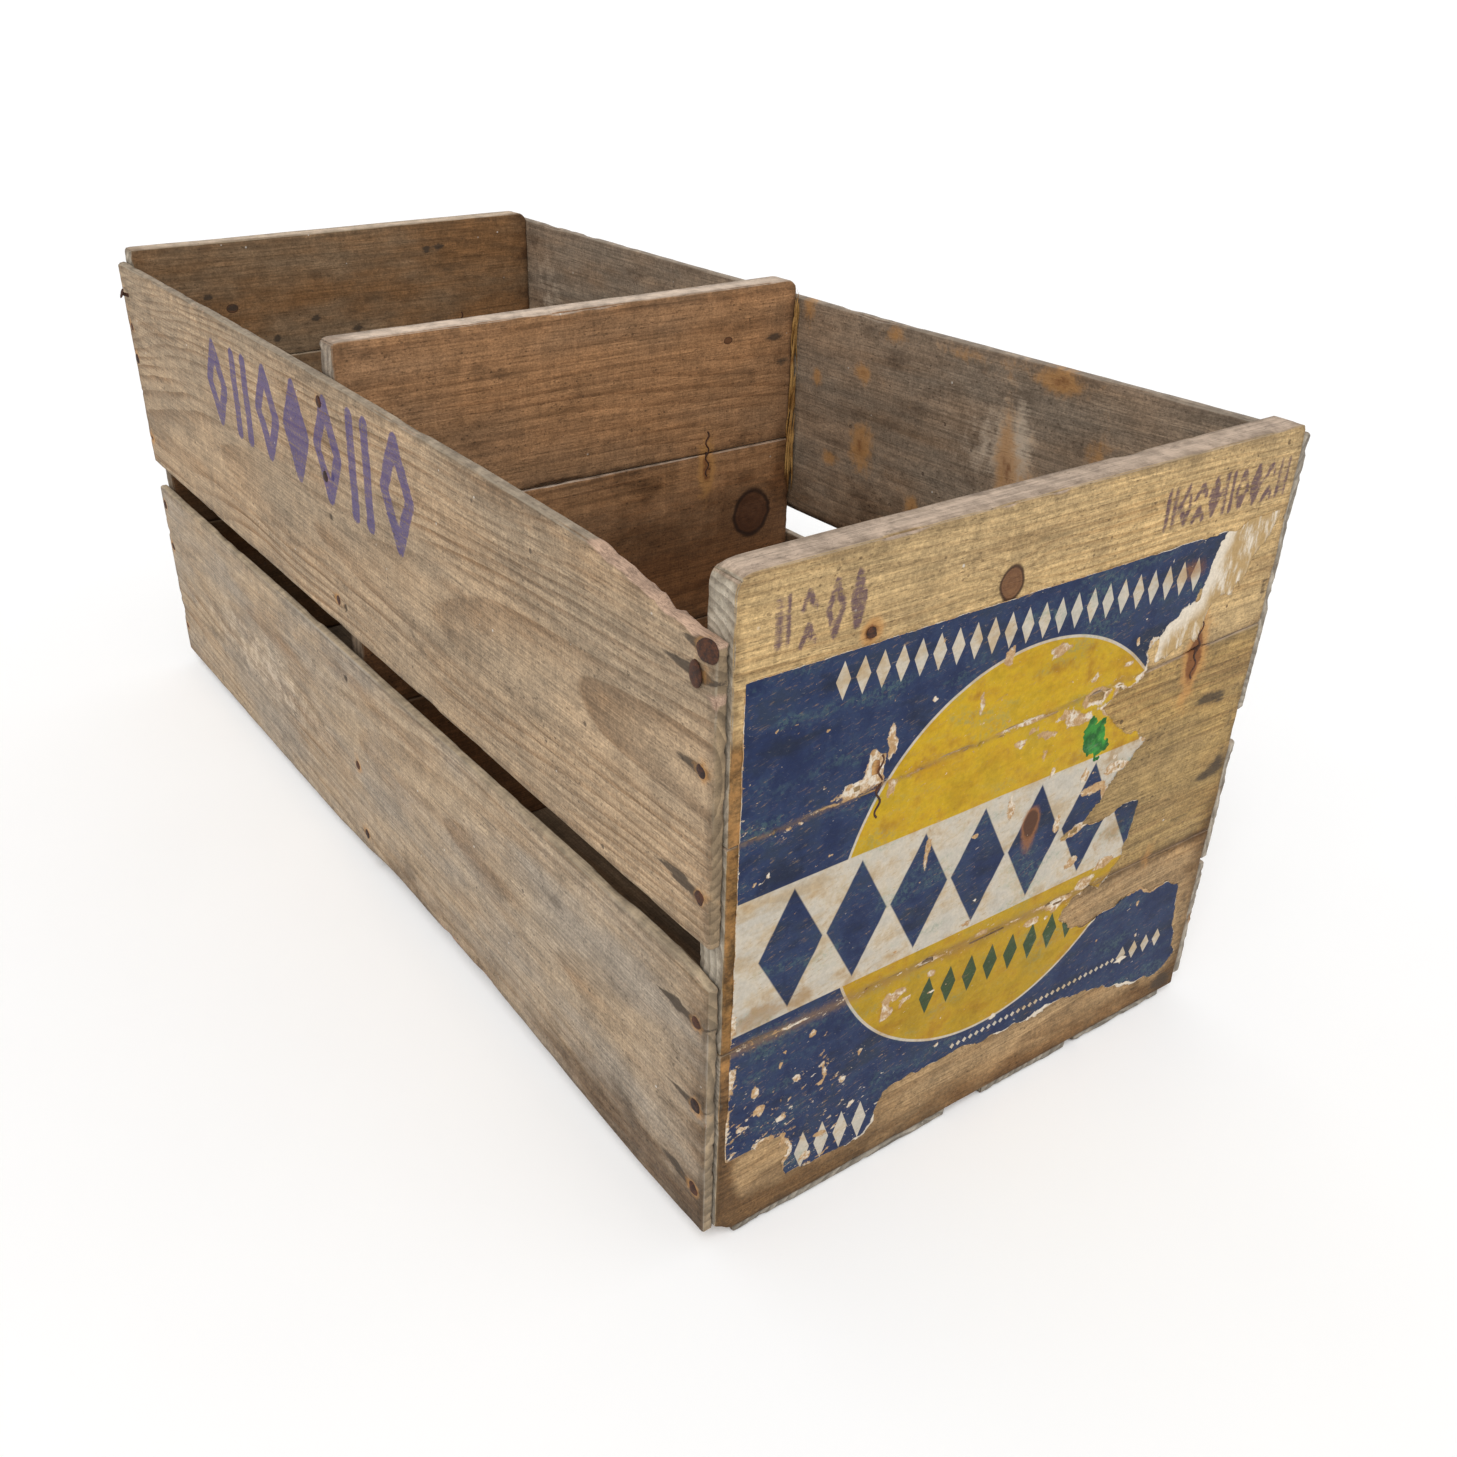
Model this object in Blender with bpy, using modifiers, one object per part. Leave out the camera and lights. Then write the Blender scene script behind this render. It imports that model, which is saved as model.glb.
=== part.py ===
"""Wooden fruit crate with two compartments: boarded ends and divider, nailed side and floor slats.

Frame: X across the crate, Y along its length with the labelled end at -Y, Z up.
The origin is on the floor, under the middle of the crate. Units are metres.
"""

import math

import bmesh
import bpy
from mathutils import Matrix, Vector

# Driving dimensions of the crate
PANEL_WIDTH = 0.305
PANEL_HEIGHT = 0.306
CRATE_LENGTH = 0.700
PANEL_THICK = 0.016
SLAT_THICK = 0.006
FLOOR_THICK = 0.005
CLEARANCE = 0.0003
EDGE_ROUND = 0.0007
CORNER_RADIUS = 0.006

DIVIDER_EXTRA_HEIGHT = 0.005
DIVIDER_NARROWING = 0.0040
SLAT_INSET = 0.001
SLAT_BOW = 0.0036
SLAT_STEPS = 8

# Nails: round heads set flush in the slats, shanks running into the ends of the boards
NAIL_SIDES = 8
NAIL_LENGTH = 0.034
NAIL_SHANK_RADIUS = 0.0012
NAIL_HEAD_RADIUS = 0.0034
LARGE_HEAD_RADIUS = 0.0046
NAIL_HEAD_THICK = 0.0012
NAIL_POINT = 0.003
HOLE_OVERSHOOT = 0.002

# Corrugated fasteners: wavy steel strips driven across a seam between two boards
FASTENER_LENGTH = 0.028
FASTENER_DEPTH = 0.010
FASTENER_THICK = 0.0008
FASTENER_WAVE = 0.0011
FASTENER_WAVES = 3
STEPS_PER_WAVE = 6

LABEL_THICK = 0.0003

# Levels that follow from the driving dimensions
PANEL_BOTTOM = FLOOR_THICK + CLEARANCE
PANEL_TOP = FLOOR_THICK + PANEL_HEIGHT
HALF_WIDTH = PANEL_WIDTH / 2
HALF_LENGTH = CRATE_LENGTH / 2
SIDE_FACE = HALF_WIDTH + CLEARANCE + SLAT_THICK
PANEL_CENTRE = HALF_LENGTH - PANEL_THICK / 2

# Panels: name -> (middle in Y, top level, how much narrower each side is at the top than at the bottom)
PANELS = {
    "front_panel": (-PANEL_CENTRE, PANEL_TOP, 0.0),
    "divider": (0.0, PANEL_TOP + DIVIDER_EXTRA_HEIGHT, DIVIDER_NARROWING),
    "rear_panel": (PANEL_CENTRE, PANEL_TOP, 0.0),
}
# Seams: name -> ((left level, right level) of the upper seam, the same of the lower seam)
SEAMS = {
    "front_panel": ((0.206, 0.218), (0.108, 0.104)),
    "divider": ((0.221, 0.219), (0.110, 0.110)),
    "rear_panel": ((0.228, 0.229), (0.114, 0.114)),
}
# Side slats: name -> (side, bottom level, top level at the front, top level at the rear, bow)
SIDE_SLATS = {
    "left_slat_top": (-1, 0.162, 0.297, 0.302, SLAT_BOW),
    "left_slat_bottom": (-1, 0.010, 0.147, 0.144, 0.0),
    "right_slat_top": (1, 0.171, 0.306, 0.306, SLAT_BOW),
    "right_slat_middle": (1, 0.0845, 0.1535, 0.1535, 0.0),
    "right_slat_bottom": (1, 0.010, 0.0820, 0.0820, 0.0),
}
# Floor slats: name -> (left edge, right edge)
FLOOR_SLATS = {
    "floor_slat_left": (-0.142, -0.015),
    "floor_slat_centre": (0.009, 0.070),
    "floor_slat_right": (0.076, 0.144),
}
# The worn front end of the upper left slat, where its top edge has split away
WANE_START = -0.268
WANE_END = -0.345
WANE_DEPTH = 0.010

# Heights of the nails in the left side, panel by panel, and of those in the right side
LEFT_NAILS = {
    "front_panel": (0.2845, 0.2735, 0.2370, 0.1835, 0.1230, 0.0795, 0.0320),
    "divider": (0.2860, 0.2470, 0.1780, 0.0726, 0.0246),
    "rear_panel": (0.2605, 0.2380, 0.1815, 0.1310, 0.0980, 0.0320),
}
RIGHT_NAILS = (0.2450, 0.1280, 0.0460)
FLOOR_NAILS = (-0.0800, 0.0400, 0.1080)
# The two top nails of the front have large heads and stand either side of the row
LARGE_NAIL_SHIFTS = (-0.0025, 0.0045)
FASTENER_PLACES = {
    "front_panel": (-0.081, 0.107),
    "divider": (-0.081, 0.084),
    "rear_panel": (-0.081, 0.0905),
}
FASTENER_LABELS = ("left", "right")


def clear_scene():
    for thing in list(bpy.data.objects):
        bpy.data.objects.remove(thing, do_unlink=True)


def new_collection(name):
    collection = bpy.data.collections.new(name)
    bpy.context.scene.collection.children.link(collection)
    return collection


def new_material(name, colour, roughness, metallic=0.0):
    material = bpy.data.materials.new(name)
    material.use_nodes = True
    shader = material.node_tree.nodes["Principled BSDF"]
    shader.inputs["Base Color"].default_value = (*colour, 1.0)
    shader.inputs["Roughness"].default_value = roughness
    shader.inputs["Metallic"].default_value = metallic
    material.diffuse_color = (*colour, 1.0)
    return material


def object_from(bm, name, collection, material=None):
    bmesh.ops.recalc_face_normals(bm, faces=bm.faces)
    mesh = bpy.data.meshes.new(name)
    bm.to_mesh(mesh)
    bm.free()
    thing = bpy.data.objects.new(name, mesh)
    collection.objects.link(thing)
    if material:
        mesh.materials.append(material)
    return thing


def as_cutter(thing):
    thing.hide_render = True
    thing.display_type = "WIRE"
    return thing


def add_bevel(thing, width, segments=1):
    bevel = thing.modifiers.new("rounded edges", "BEVEL")
    bevel.width = width
    bevel.segments = segments
    bevel.limit_method = "ANGLE"
    bevel.angle_limit = math.radians(40)


def cut(thing, cutter):
    boolean = thing.modifiers.new("cut " + cutter.name, "BOOLEAN")
    boolean.operation = "DIFFERENCE"
    boolean.solver = "EXACT"
    boolean.object = cutter


def box_mesh(low, high):
    """A box between two corners, made from the cube primitive."""
    low, high = Vector(low), Vector(high)
    place = Matrix.Translation((low + high) / 2) @ Matrix.Diagonal((*(high - low), 1.0))
    bm = bmesh.new()
    bmesh.ops.create_cube(bm, size=1.0, matrix=place)
    return bm


def round_top_corners(bm, top_level):
    """Rounds the two top corners of an upright board, seen from the front."""
    edges = [
        edge
        for edge in bm.edges
        if abs(edge.verts[0].co.y - edge.verts[1].co.y) > PANEL_THICK / 2
        and min(vert.co.z for vert in edge.verts) > top_level - CORNER_RADIUS
    ]
    bmesh.ops.bevel(
        bm, geom=edges, offset=CORNER_RADIUS, segments=4, profile=0.5, affect="EDGES"
    )


def make_panel_boards(panel, collection, material):
    """Three boards on edge, whose seams may slope a little from left to right."""
    middle, top, narrowing = PANELS[panel]
    upper, lower = SEAMS[panel]
    half_gap = CLEARANCE / 2
    levels = {
        "bottom": ((PANEL_BOTTOM, PANEL_BOTTOM), tuple(seam - half_gap for seam in lower)),
        "middle": (tuple(seam + half_gap for seam in lower), tuple(seam - half_gap for seam in upper)),
        "top": (tuple(seam + half_gap for seam in upper), (top, top)),
    }
    boards = {}
    for which, (bottoms, tops) in levels.items():
        half_thick = PANEL_THICK / 2
        bm = box_mesh((-1, middle - half_thick, 0), (1, middle + half_thick, 1))
        for vert in bm.verts:
            side = 0 if vert.co.x < 0 else 1
            vert.co.z = tops[side] if vert.co.z > 0.5 else bottoms[side]
            rise = (vert.co.z - PANEL_BOTTOM) / (top - PANEL_BOTTOM)
            vert.co.x *= HALF_WIDTH - narrowing * rise
        if which == "top":
            round_top_corners(bm, top)
        board = object_from(bm, f"{panel}_board_{which}", collection, material)
        add_bevel(board, EDGE_ROUND)
        boards[which] = board
    return boards


def smooth_step(value):
    value = min(max(value, 0.0), 1.0)
    return value * value * (3 - 2 * value)


def make_side_slat(name, collection, material):
    """A slat along the side: its top edge follows the narrower divider inwards."""
    side, bottom, top_front, top_rear, bow = SIDE_SLATS[name]
    half = HALF_LENGTH - SLAT_INSET
    inner = side * (HALF_WIDTH + CLEARANCE)
    outer = side * SIDE_FACE
    bm = box_mesh((min(inner, outer), -half, bottom), (max(inner, outer), half, 1))
    for step in range(1, SLAT_STEPS):
        bmesh.ops.bisect_plane(
            bm,
            geom=bm.verts[:] + bm.edges[:] + bm.faces[:],
            plane_co=(0, -half + 2 * half * step / SLAT_STEPS, 0),
            plane_no=(0, 1, 0),
        )
    for vert in bm.verts:
        along = vert.co.y / half
        if vert.co.z > 0.5:
            vert.co.z = top_front + (top_rear - top_front) * (along + 1) / 2
            if name == "left_slat_top":
                vert.co.z -= WANE_DEPTH * smooth_step(
                    (WANE_START - vert.co.y) / (WANE_START - WANE_END)
                )
            vert.co.x -= side * bow * (1 - along * along)
    slat = object_from(bm, name, collection, material)
    add_bevel(slat, EDGE_ROUND)
    return slat


def make_floor_slat(name, collection, material):
    left, right = FLOOR_SLATS[name]
    half = HALF_LENGTH - SLAT_INSET
    slat = object_from(
        box_mesh((left, -half, 0), (right, half, FLOOR_THICK)), name, collection, material
    )
    add_bevel(slat, EDGE_ROUND)
    return slat


def turned_nail(name, head_radius, grow, overshoot, collection, material=None):
    """A nail along -Z with its head's face at 0, turned from a profile. grow widens it into a cutter."""
    shank, head = NAIL_SHANK_RADIUS + grow, head_radius + grow
    tip = -NAIL_LENGTH - grow
    profile = [
        (0, overshoot),
        (head, overshoot),
        (head, -NAIL_HEAD_THICK - grow),
        (shank, -NAIL_HEAD_THICK - grow),
        (shank, tip + NAIL_POINT),
        (0, tip),
    ]
    bm = bmesh.new()
    points = [bm.verts.new((radius, 0, level)) for radius, level in profile]
    edges = [bm.edges.new(pair) for pair in zip(points, points[1:])]
    bmesh.ops.spin(
        bm,
        geom=points + edges,
        cent=(0, 0, 0),
        axis=(0, 0, 1),
        angle=math.tau,
        steps=NAIL_SIDES,
        use_merge=True,
    )
    bmesh.ops.remove_doubles(bm, verts=bm.verts, dist=0.00001)
    return object_from(bm, name, collection, material)


def drive_nail(name, head_point, direction, head_radius, pieces, parts, cutters, material):
    """Puts a nail with its head at head_point, driven along direction, and drills the pieces."""
    turn = Vector((0, 0, -1)).rotation_difference(Vector(direction)).to_matrix().to_4x4()
    nail = turned_nail(name, head_radius, 0.0, 0.0, parts, material)
    hole = as_cutter(turned_nail(name + "_hole", head_radius, CLEARANCE, HOLE_OVERSHOOT, cutters))
    for thing in (nail, hole):
        thing.matrix_world = Matrix.Translation(head_point) @ turn
    nail.data.shade_smooth()
    nail.data.set_sharp_from_angle(angle=math.radians(35))
    for piece in pieces:
        cut(piece, hole)


def slat_shift(name, y, z):
    """How far the slat's outer face lies inwards at this place, from the bow of its top edge."""
    _, bottom, top_front, top_rear, bow = SIDE_SLATS[name]
    along = y / (HALF_LENGTH - SLAT_INSET)
    top = top_front + (top_rear - top_front) * (along + 1) / 2
    return bow * (1 - along * along) * (z - bottom) / (top - bottom)


def board_at(panel, boards, side, z):
    """The board of a panel that lies behind this height on this side."""
    upper, lower = SEAMS[panel]
    index = 0 if side < 0 else 1
    if z > upper[index]:
        return boards["top"]
    return boards["middle"] if z > lower[index] else boards["bottom"]


def slat_at(side, z):
    for name, (slat_side, bottom, top_front, _, _) in SIDE_SLATS.items():
        if slat_side == side and bottom < z < top_front:
            return name
    raise ValueError(f"no slat at height {z}")


def side_nails(side, panel, heights, boards, slats, parts, cutters, material):
    word = "left" if side < 0 else "right"
    short = panel.split("_")[0]
    middle = PANELS[panel][0]
    for number, z in enumerate(heights, start=1):
        y = middle
        head_radius = NAIL_HEAD_RADIUS
        if side < 0 and panel == "front_panel" and number <= len(LARGE_NAIL_SHIFTS):
            y += LARGE_NAIL_SHIFTS[number - 1]
            head_radius = LARGE_HEAD_RADIUS
        slat = slat_at(side, z)
        face = side * (SIDE_FACE - slat_shift(slat, y, z) - CLEARANCE)
        drive_nail(
            f"nail_{word}_{short}_{number}",
            (face, y, z),
            (-side, 0, 0),
            head_radius,
            (slats[slat], board_at(panel, boards, side, z)),
            parts,
            cutters,
            material,
        )


def floor_nails(panel, boards, slats, parts, cutters, material):
    short = panel.split("_")[0]
    middle = PANELS[panel][0]
    for number, (x, name) in enumerate(zip(FLOOR_NAILS, FLOOR_SLATS), start=1):
        pieces = (slats[name], boards["bottom"])
        drive_nail(
            f"nail_floor_{short}_{number}",
            (x, middle, CLEARANCE),
            (0, 0, 1),
            NAIL_HEAD_RADIUS,
            pieces,
            parts,
            cutters,
            material,
        )


def wavy_strip(name, grow, collection, material=None):
    """A corrugated strip across a seam: waves along Z, driven in along +Y from its front edge at 0."""
    length = FASTENER_LENGTH + 2 * grow
    steps = FASTENER_WAVES * STEPS_PER_WAVE
    front = -HOLE_OVERSHOOT if grow else 0.0
    bm = bmesh.new()
    rows = []
    for step in range(steps + 1):
        z = -length / 2 + length * step / steps
        x = FASTENER_WAVE * math.sin(math.tau * FASTENER_WAVES * z / FASTENER_LENGTH)
        rows.append((bm.verts.new((x, front, z)), bm.verts.new((x, FASTENER_DEPTH + grow, z))))
    for (front_a, back_a), (front_b, back_b) in zip(rows, rows[1:]):
        bm.faces.new((front_a, back_a, back_b, front_b))
    strip = object_from(bm, name, collection, material)
    solid = strip.modifiers.new("sheet thickness", "SOLIDIFY")
    solid.thickness = FASTENER_THICK + 2 * grow
    solid.offset = 0.0
    return strip


def drive_fastener(panel, which, boards, parts, cutters, material):
    middle = PANELS[panel][0]
    left_level, right_level = SEAMS[panel][0]
    x = FASTENER_PLACES[panel][which]
    seam = left_level + (right_level - left_level) * (x + HALF_WIDTH) / PANEL_WIDTH
    name = f"corrugated_fastener_{panel.split('_')[0]}_{FASTENER_LABELS[which]}"
    place = Vector((x, middle - PANEL_THICK / 2 + CLEARANCE, seam))
    strip = wavy_strip(name, 0.0, parts, material)
    slot = as_cutter(wavy_strip(name + "_slot", CLEARANCE, cutters))
    strip.location = place
    slot.location = place
    cut(boards["top"], slot)
    cut(boards["middle"], slot)


def make_label(parts, material):
    """The torn paper label on the front panel: straight where it was trimmed, ragged where it tore."""
    top, left = 0.2705, -0.1455
    outline = [
        (left, top),
        (0.118, top),
        (0.114, 0.246),
        (0.094, 0.222),
        (0.078, 0.205),
        (0.076, 0.168),
        (0.068, 0.140),
        (0.046, 0.108),
        (0.070, 0.094),
        (0.132, 0.093),
        (0.136, 0.062),
        (0.120, 0.047),
        (0.060, 0.046),
        (-0.020, 0.040),
        (-0.070, 0.034),
        (-0.112, 0.014),
        (-0.128, 0.052),
        (-0.149, 0.047),
    ]
    curve = bpy.data.curves.new("paper_label", "CURVE")
    curve.dimensions = "2D"
    curve.fill_mode = "BOTH"
    curve.extrude = LABEL_THICK / 2
    spline = curve.splines.new("POLY")
    spline.points.add(len(outline) - 1)
    spline.use_cyclic_u = True
    for point, (x, z) in zip(spline.points, outline):
        point.co = (x, z, 0, 1)
    curve.materials.append(material)
    label = bpy.data.objects.new("paper_label", curve)
    parts.objects.link(label)
    label.rotation_euler = (math.radians(90), 0, 0)
    label.location = (0, -HALF_LENGTH - CLEARANCE - LABEL_THICK / 2, 0)


def build_crate():
    clear_scene()
    parts = new_collection("fruit_crate")
    cutters = new_collection("fruit_crate_cutters")
    panel_wood = new_material("panel pine", (0.42, 0.28, 0.14), 0.75)
    side_wood = new_material("side slat pine", (0.47, 0.37, 0.24), 0.8)
    floor_wood = new_material("floor slat pine", (0.36, 0.26, 0.15), 0.85)
    rusty_steel = new_material("rusty steel", (0.16, 0.06, 0.03), 0.8, 0.4)
    paper = new_material("printed paper", (0.03, 0.06, 0.16), 0.55)

    slats = {name: make_side_slat(name, parts, side_wood) for name in SIDE_SLATS}
    slats.update({name: make_floor_slat(name, parts, floor_wood) for name in FLOOR_SLATS})
    for panel in PANELS:
        boards = make_panel_boards(panel, parts, panel_wood)
        side_nails(-1, panel, LEFT_NAILS[panel], boards, slats, parts, cutters, rusty_steel)
        side_nails(1, panel, RIGHT_NAILS, boards, slats, parts, cutters, rusty_steel)
        floor_nails(panel, boards, slats, parts, cutters, rusty_steel)
        for which in range(len(FASTENER_LABELS)):
            drive_fastener(panel, which, boards, parts, cutters, rusty_steel)
    make_label(parts, paper)


build_crate()
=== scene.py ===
"""The looks of the wooden fruit crate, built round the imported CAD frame.

Every board, slat, nail and the paper label of the frame is replaced by a detailed piece in the same
place. Inside this script lengths are in millimetres until a mesh is made, and X runs across the crate,
Y along it with the labelled end at -Y, and Z up.
"""

import dataclasses
import functools
import math

import bmesh
import bpy
import numpy as np
from mathutils import Matrix, Vector
from mathutils.bvhtree import BVHTree


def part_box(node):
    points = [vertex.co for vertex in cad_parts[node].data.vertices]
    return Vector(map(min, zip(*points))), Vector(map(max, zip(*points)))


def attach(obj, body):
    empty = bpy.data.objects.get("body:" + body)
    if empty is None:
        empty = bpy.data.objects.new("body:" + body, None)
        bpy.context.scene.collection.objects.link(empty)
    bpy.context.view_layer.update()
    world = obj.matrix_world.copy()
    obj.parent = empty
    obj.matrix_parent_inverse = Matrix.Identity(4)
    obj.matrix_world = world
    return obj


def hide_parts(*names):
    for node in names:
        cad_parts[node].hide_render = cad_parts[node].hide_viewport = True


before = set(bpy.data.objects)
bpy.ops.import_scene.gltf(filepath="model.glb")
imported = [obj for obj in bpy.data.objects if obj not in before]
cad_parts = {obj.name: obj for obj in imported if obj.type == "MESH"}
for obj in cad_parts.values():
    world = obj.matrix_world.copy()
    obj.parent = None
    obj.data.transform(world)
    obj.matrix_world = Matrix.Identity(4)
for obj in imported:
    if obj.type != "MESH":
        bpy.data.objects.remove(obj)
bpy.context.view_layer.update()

MM = 0.001

# The CAD's own sizes that its boxes do not show, and the outer face of its side slats
HALF_WIDTH = 152.5
SLAT_FACE = 158.8
SLAT_THICK = 6.0
SLAT_END = 349.0
SLAT_BOW = 3.6
PANEL_FOOT = 5.3
DIVIDER_TOP = 316.0
DIVIDER_NARROWING = 4.0
LEFT_RISE = 5.0


def cad_box(node):
    """The lowest and highest corner of a CAD node, in millimetres."""
    low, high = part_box(node)
    return np.array(low) / MM, np.array(high) / MM


# ---- noise


def lattice(x, y, z, seed):
    """A repeatable value from -1 to 1 for each whole-numbered point."""
    n = (x * 73856093) ^ (y * 19349663) ^ (z * 83492791) ^ (seed * 40503 + 977)
    n = (n ^ (n >> 13)) & 0x7FFFFFFF
    n = (n * 1274126177) & 0x7FFFFFFF
    return ((n ^ (n >> 15)) & 0xFFFF) / 32767.5 - 1.0


def noise(points, size, seed, octaves=2):
    """Smooth noise from -1 to 1. size is that of its largest features, one number or one for each axis."""
    total, weight, amplitude = 0.0, 0.0, 1.0
    for octave in range(octaves):
        place = points / np.asarray(size, float) * 2**octave
        base = np.floor(place).astype(np.int64)
        part = place - base
        part = part * part * (3 - 2 * part)
        value = 0.0
        for corner in np.ndindex(2, 2, 2):
            share = np.prod(np.where(corner, part, 1 - part), axis=1)
            value = value + share * lattice(*(base + corner).T, seed + octave)
        total = total + amplitude * value
        weight += amplitude
        amplitude *= 0.5
    return total / weight


def smooth(value, start, end):
    """0 before start, 1 after end, smooth between."""
    part = np.clip((value - start) / (end - start), 0, 1)
    return part * part * (3 - 2 * part)


def blob(x, z, middle_x, middle_z, half_x, half_z):
    """1 at the middle, falling off smoothly all round."""
    return np.exp(-(((x - middle_x) / half_x) ** 2 + ((z - middle_z) / half_z) ** 2))


# ---- shader graphs


class Graph:
    """A material's node tree, with a short call for each kind of node, and its colour so far."""

    def __init__(self, name):
        self.material = bpy.data.materials.new(name)
        self.material.use_nodes = True
        self.tree = self.material.node_tree
        self.tree.nodes.clear()
        output = self.node("ShaderNodeOutputMaterial")
        self.shader = self.node("ShaderNodeBsdfPrincipled")
        self.tree.links.new(self.shader.outputs["BSDF"], output.inputs["Surface"])
        self.colour = None

    def node(self, kind, *values, **settings):
        """A new node with its settings, and with values for its inputs in their order."""
        node = self.tree.nodes.new(kind)
        for key, value in settings.items():
            setattr(node, key, value)
        for value, socket in zip(values, node.inputs):
            self.put(value, socket)
        return node

    def put(self, value, socket):
        if isinstance(value, bpy.types.NodeSocket):
            self.tree.links.new(value, socket)
        elif socket.type == "RGBA" and len(value) == 3:
            socket.default_value = (*value, 1.0)
        else:
            socket.default_value = value

    def math(self, operation, *values):
        return self.node("ShaderNodeMath", *values, operation=operation).outputs[0]

    def add(self, *values):
        return functools.reduce(lambda total, value: self.math("ADD", total, value), values)

    def times(self, *values):
        return functools.reduce(lambda total, value: self.math("MULTIPLY", total, value), values)

    def swing(self, value, width):
        """Noise that lies round 0.5, made to lie round 0 and this many times as wide."""
        return self.times(self.math("SUBTRACT", value, 0.5), width)

    def length(self, x, y):
        return self.math("SQRT", self.add(self.times(x, x), self.times(y, y)))

    def step(self, value, start, end, low=0.0, high=1.0):
        """Goes smoothly from low at start to high at end."""
        values = (value, start, end, low, high)
        return self.node("ShaderNodeMapRange", *values, interpolation_type="SMOOTHSTEP").outputs[0]

    def vector(self, x, y, z):
        return self.node("ShaderNodeCombineXYZ", x, y, z).outputs[0]

    def split(self, vector):
        return tuple(self.node("ShaderNodeSeparateXYZ", vector).outputs)

    def noise(self, vector, scale=1.0, detail=2.0, roughness=0.5):
        """The second input is the place along a fourth axis, which stays at 0."""
        return self.node("ShaderNodeTexNoise", vector, 0.0, scale, detail, roughness).outputs["Fac"]

    def cells(self, vector, scale=1.0):
        """The distance to the nearest of scattered points, one to a cell."""
        return self.node("ShaderNodeTexVoronoi", vector, 0.0, scale).outputs["Distance"]

    def mix(self, share, first, second, blend="MIX"):
        node = self.node("ShaderNodeMix", share, data_type="RGBA", blend_type=blend)
        self.put(first, node.inputs[6])
        self.put(second, node.inputs[7])
        return node.outputs[2]

    def tone(self, colour, factor):
        """A colour times another one, or times a value."""
        if not isinstance(factor, tuple):
            factor = self.node("ShaderNodeCombineColor", factor, factor, factor).outputs[0]
        return self.mix(1.0, colour, factor, "MULTIPLY")

    def paint(self, tint, *shares):
        """Lays a tint over the colour so far. The product of its shares says how much of it."""
        self.colour = self.mix(self.times(*shares), self.colour, tint)

    def field(self, name):
        return self.node("ShaderNodeAttribute", attribute_name=name).outputs["Fac"]

    def place(self):
        """The point's place on the crate, in millimetres."""
        coordinates = self.node("ShaderNodeTexCoord").outputs["Object"]
        node = self.node("ShaderNodeVectorMath", coordinates, operation="SCALE")
        node.inputs["Scale"].default_value = 1 / MM
        return node.outputs[0]

    def bump(self, height, depth, strength=1.0):
        """height is from 0 to 1 and depth is what it stands for, in millimetres."""
        node = self.node("ShaderNodeBump")
        self.put(height, node.inputs["Height"])
        node.inputs["Distance"].default_value = depth * MM
        node.inputs["Strength"].default_value = strength
        self.put(node.outputs["Normal"], self.shader.inputs["Normal"])

    def finish(self, roughness, specular=0.3):
        self.put(self.colour, self.shader.inputs["Base Color"])
        self.put(roughness, self.shader.inputs["Roughness"])
        self.shader.inputs["Specular IOR Level"].default_value = specular
        return self.material


# ---- wood

INK = (0.056, 0.046, 0.165)
FRONT_INK = (0.062, 0.030, 0.066)
IRON_STAIN = (0.052, 0.038, 0.027)
RUST = (0.15, 0.050, 0.018)
RUST_GLOW = (0.47, 0.235, 0.075)
FRESH_WOOD = (0.46, 0.31, 0.22)
BROWN_STAIN = (0.21, 0.105, 0.040)
PALE_SPECK = (0.62, 0.57, 0.50)
PALE_WASH = (0.69, 0.565, 0.43)
# A darker tint laid both for grime and for painted shade
GRIME_AND_SHADE = (0.36, 0.28, 0.21)
END_GRAIN = (0.50, 0.45, 0.37)
KNOT_HEART = (0.125, 0.052, 0.024)
KNOT_RING = (0.19, 0.085, 0.038)
KNOT_RIM = (0.040, 0.019, 0.011)


@dataclasses.dataclass
class Wood:
    """One kind of board: its colours, and how strong its weathering, soaking, figure and saw marks are."""

    early: tuple
    late: tuple
    grey: tuple
    # inside is the colour painted on the faces inside the crate, darker as painted shade
    inside: tuple
    dirt: tuple
    # edge is the colour of the sawn long faces, paler partly from weathering and partly as a painted
    # highlight
    edge: tuple
    weather: float
    brown: float
    figure: float
    saw: float
    ink: tuple = INK
    end: tuple = END_GRAIN


SIDE = Wood((0.415, 0.295, 0.183), (0.225, 0.132, 0.066), (0.335, 0.285, 0.213), (0.12, 0.08, 0.05),
            (0.085, 0.062, 0.042), (0.42, 0.34, 0.25), 0.3, 0.55, 0.85, 0.35, end=(0.40, 0.29, 0.17))
SIDE_LOW = Wood((0.405, 0.302, 0.198), (0.245, 0.155, 0.083), (0.37, 0.330, 0.280), (0.12, 0.08, 0.05),
                (0.085, 0.068, 0.05), (0.50, 0.39, 0.26), 0.55, 0.5, 0.68, 0.3, end=(0.42, 0.31, 0.19))
SIDE_RIGHT = Wood((0.40, 0.29, 0.178), (0.24, 0.16, 0.09), (0.32, 0.27, 0.21), (0.33, 0.23, 0.15),
                  (0.08, 0.055, 0.04), (0.44, 0.36, 0.28), 0.5, 0.4, 0.8, 0.4)
FRONT = Wood((0.55, 0.376, 0.175), (0.31, 0.175, 0.065), (0.40, 0.30, 0.18), (0.20, 0.10, 0.045),
             (0.10, 0.062, 0.032), (0.50, 0.385, 0.30), 0.25, 0.5, 0.6, 0.35, ink=FRONT_INK)
FRONT_BARE = Wood((0.415, 0.265, 0.094), (0.23, 0.125, 0.042), (0.34, 0.255, 0.145), (0.20, 0.10, 0.045),
                  (0.08, 0.05, 0.026), (0.50, 0.385, 0.30), 0.35, 0.6, 0.7, 0.35)
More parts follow.
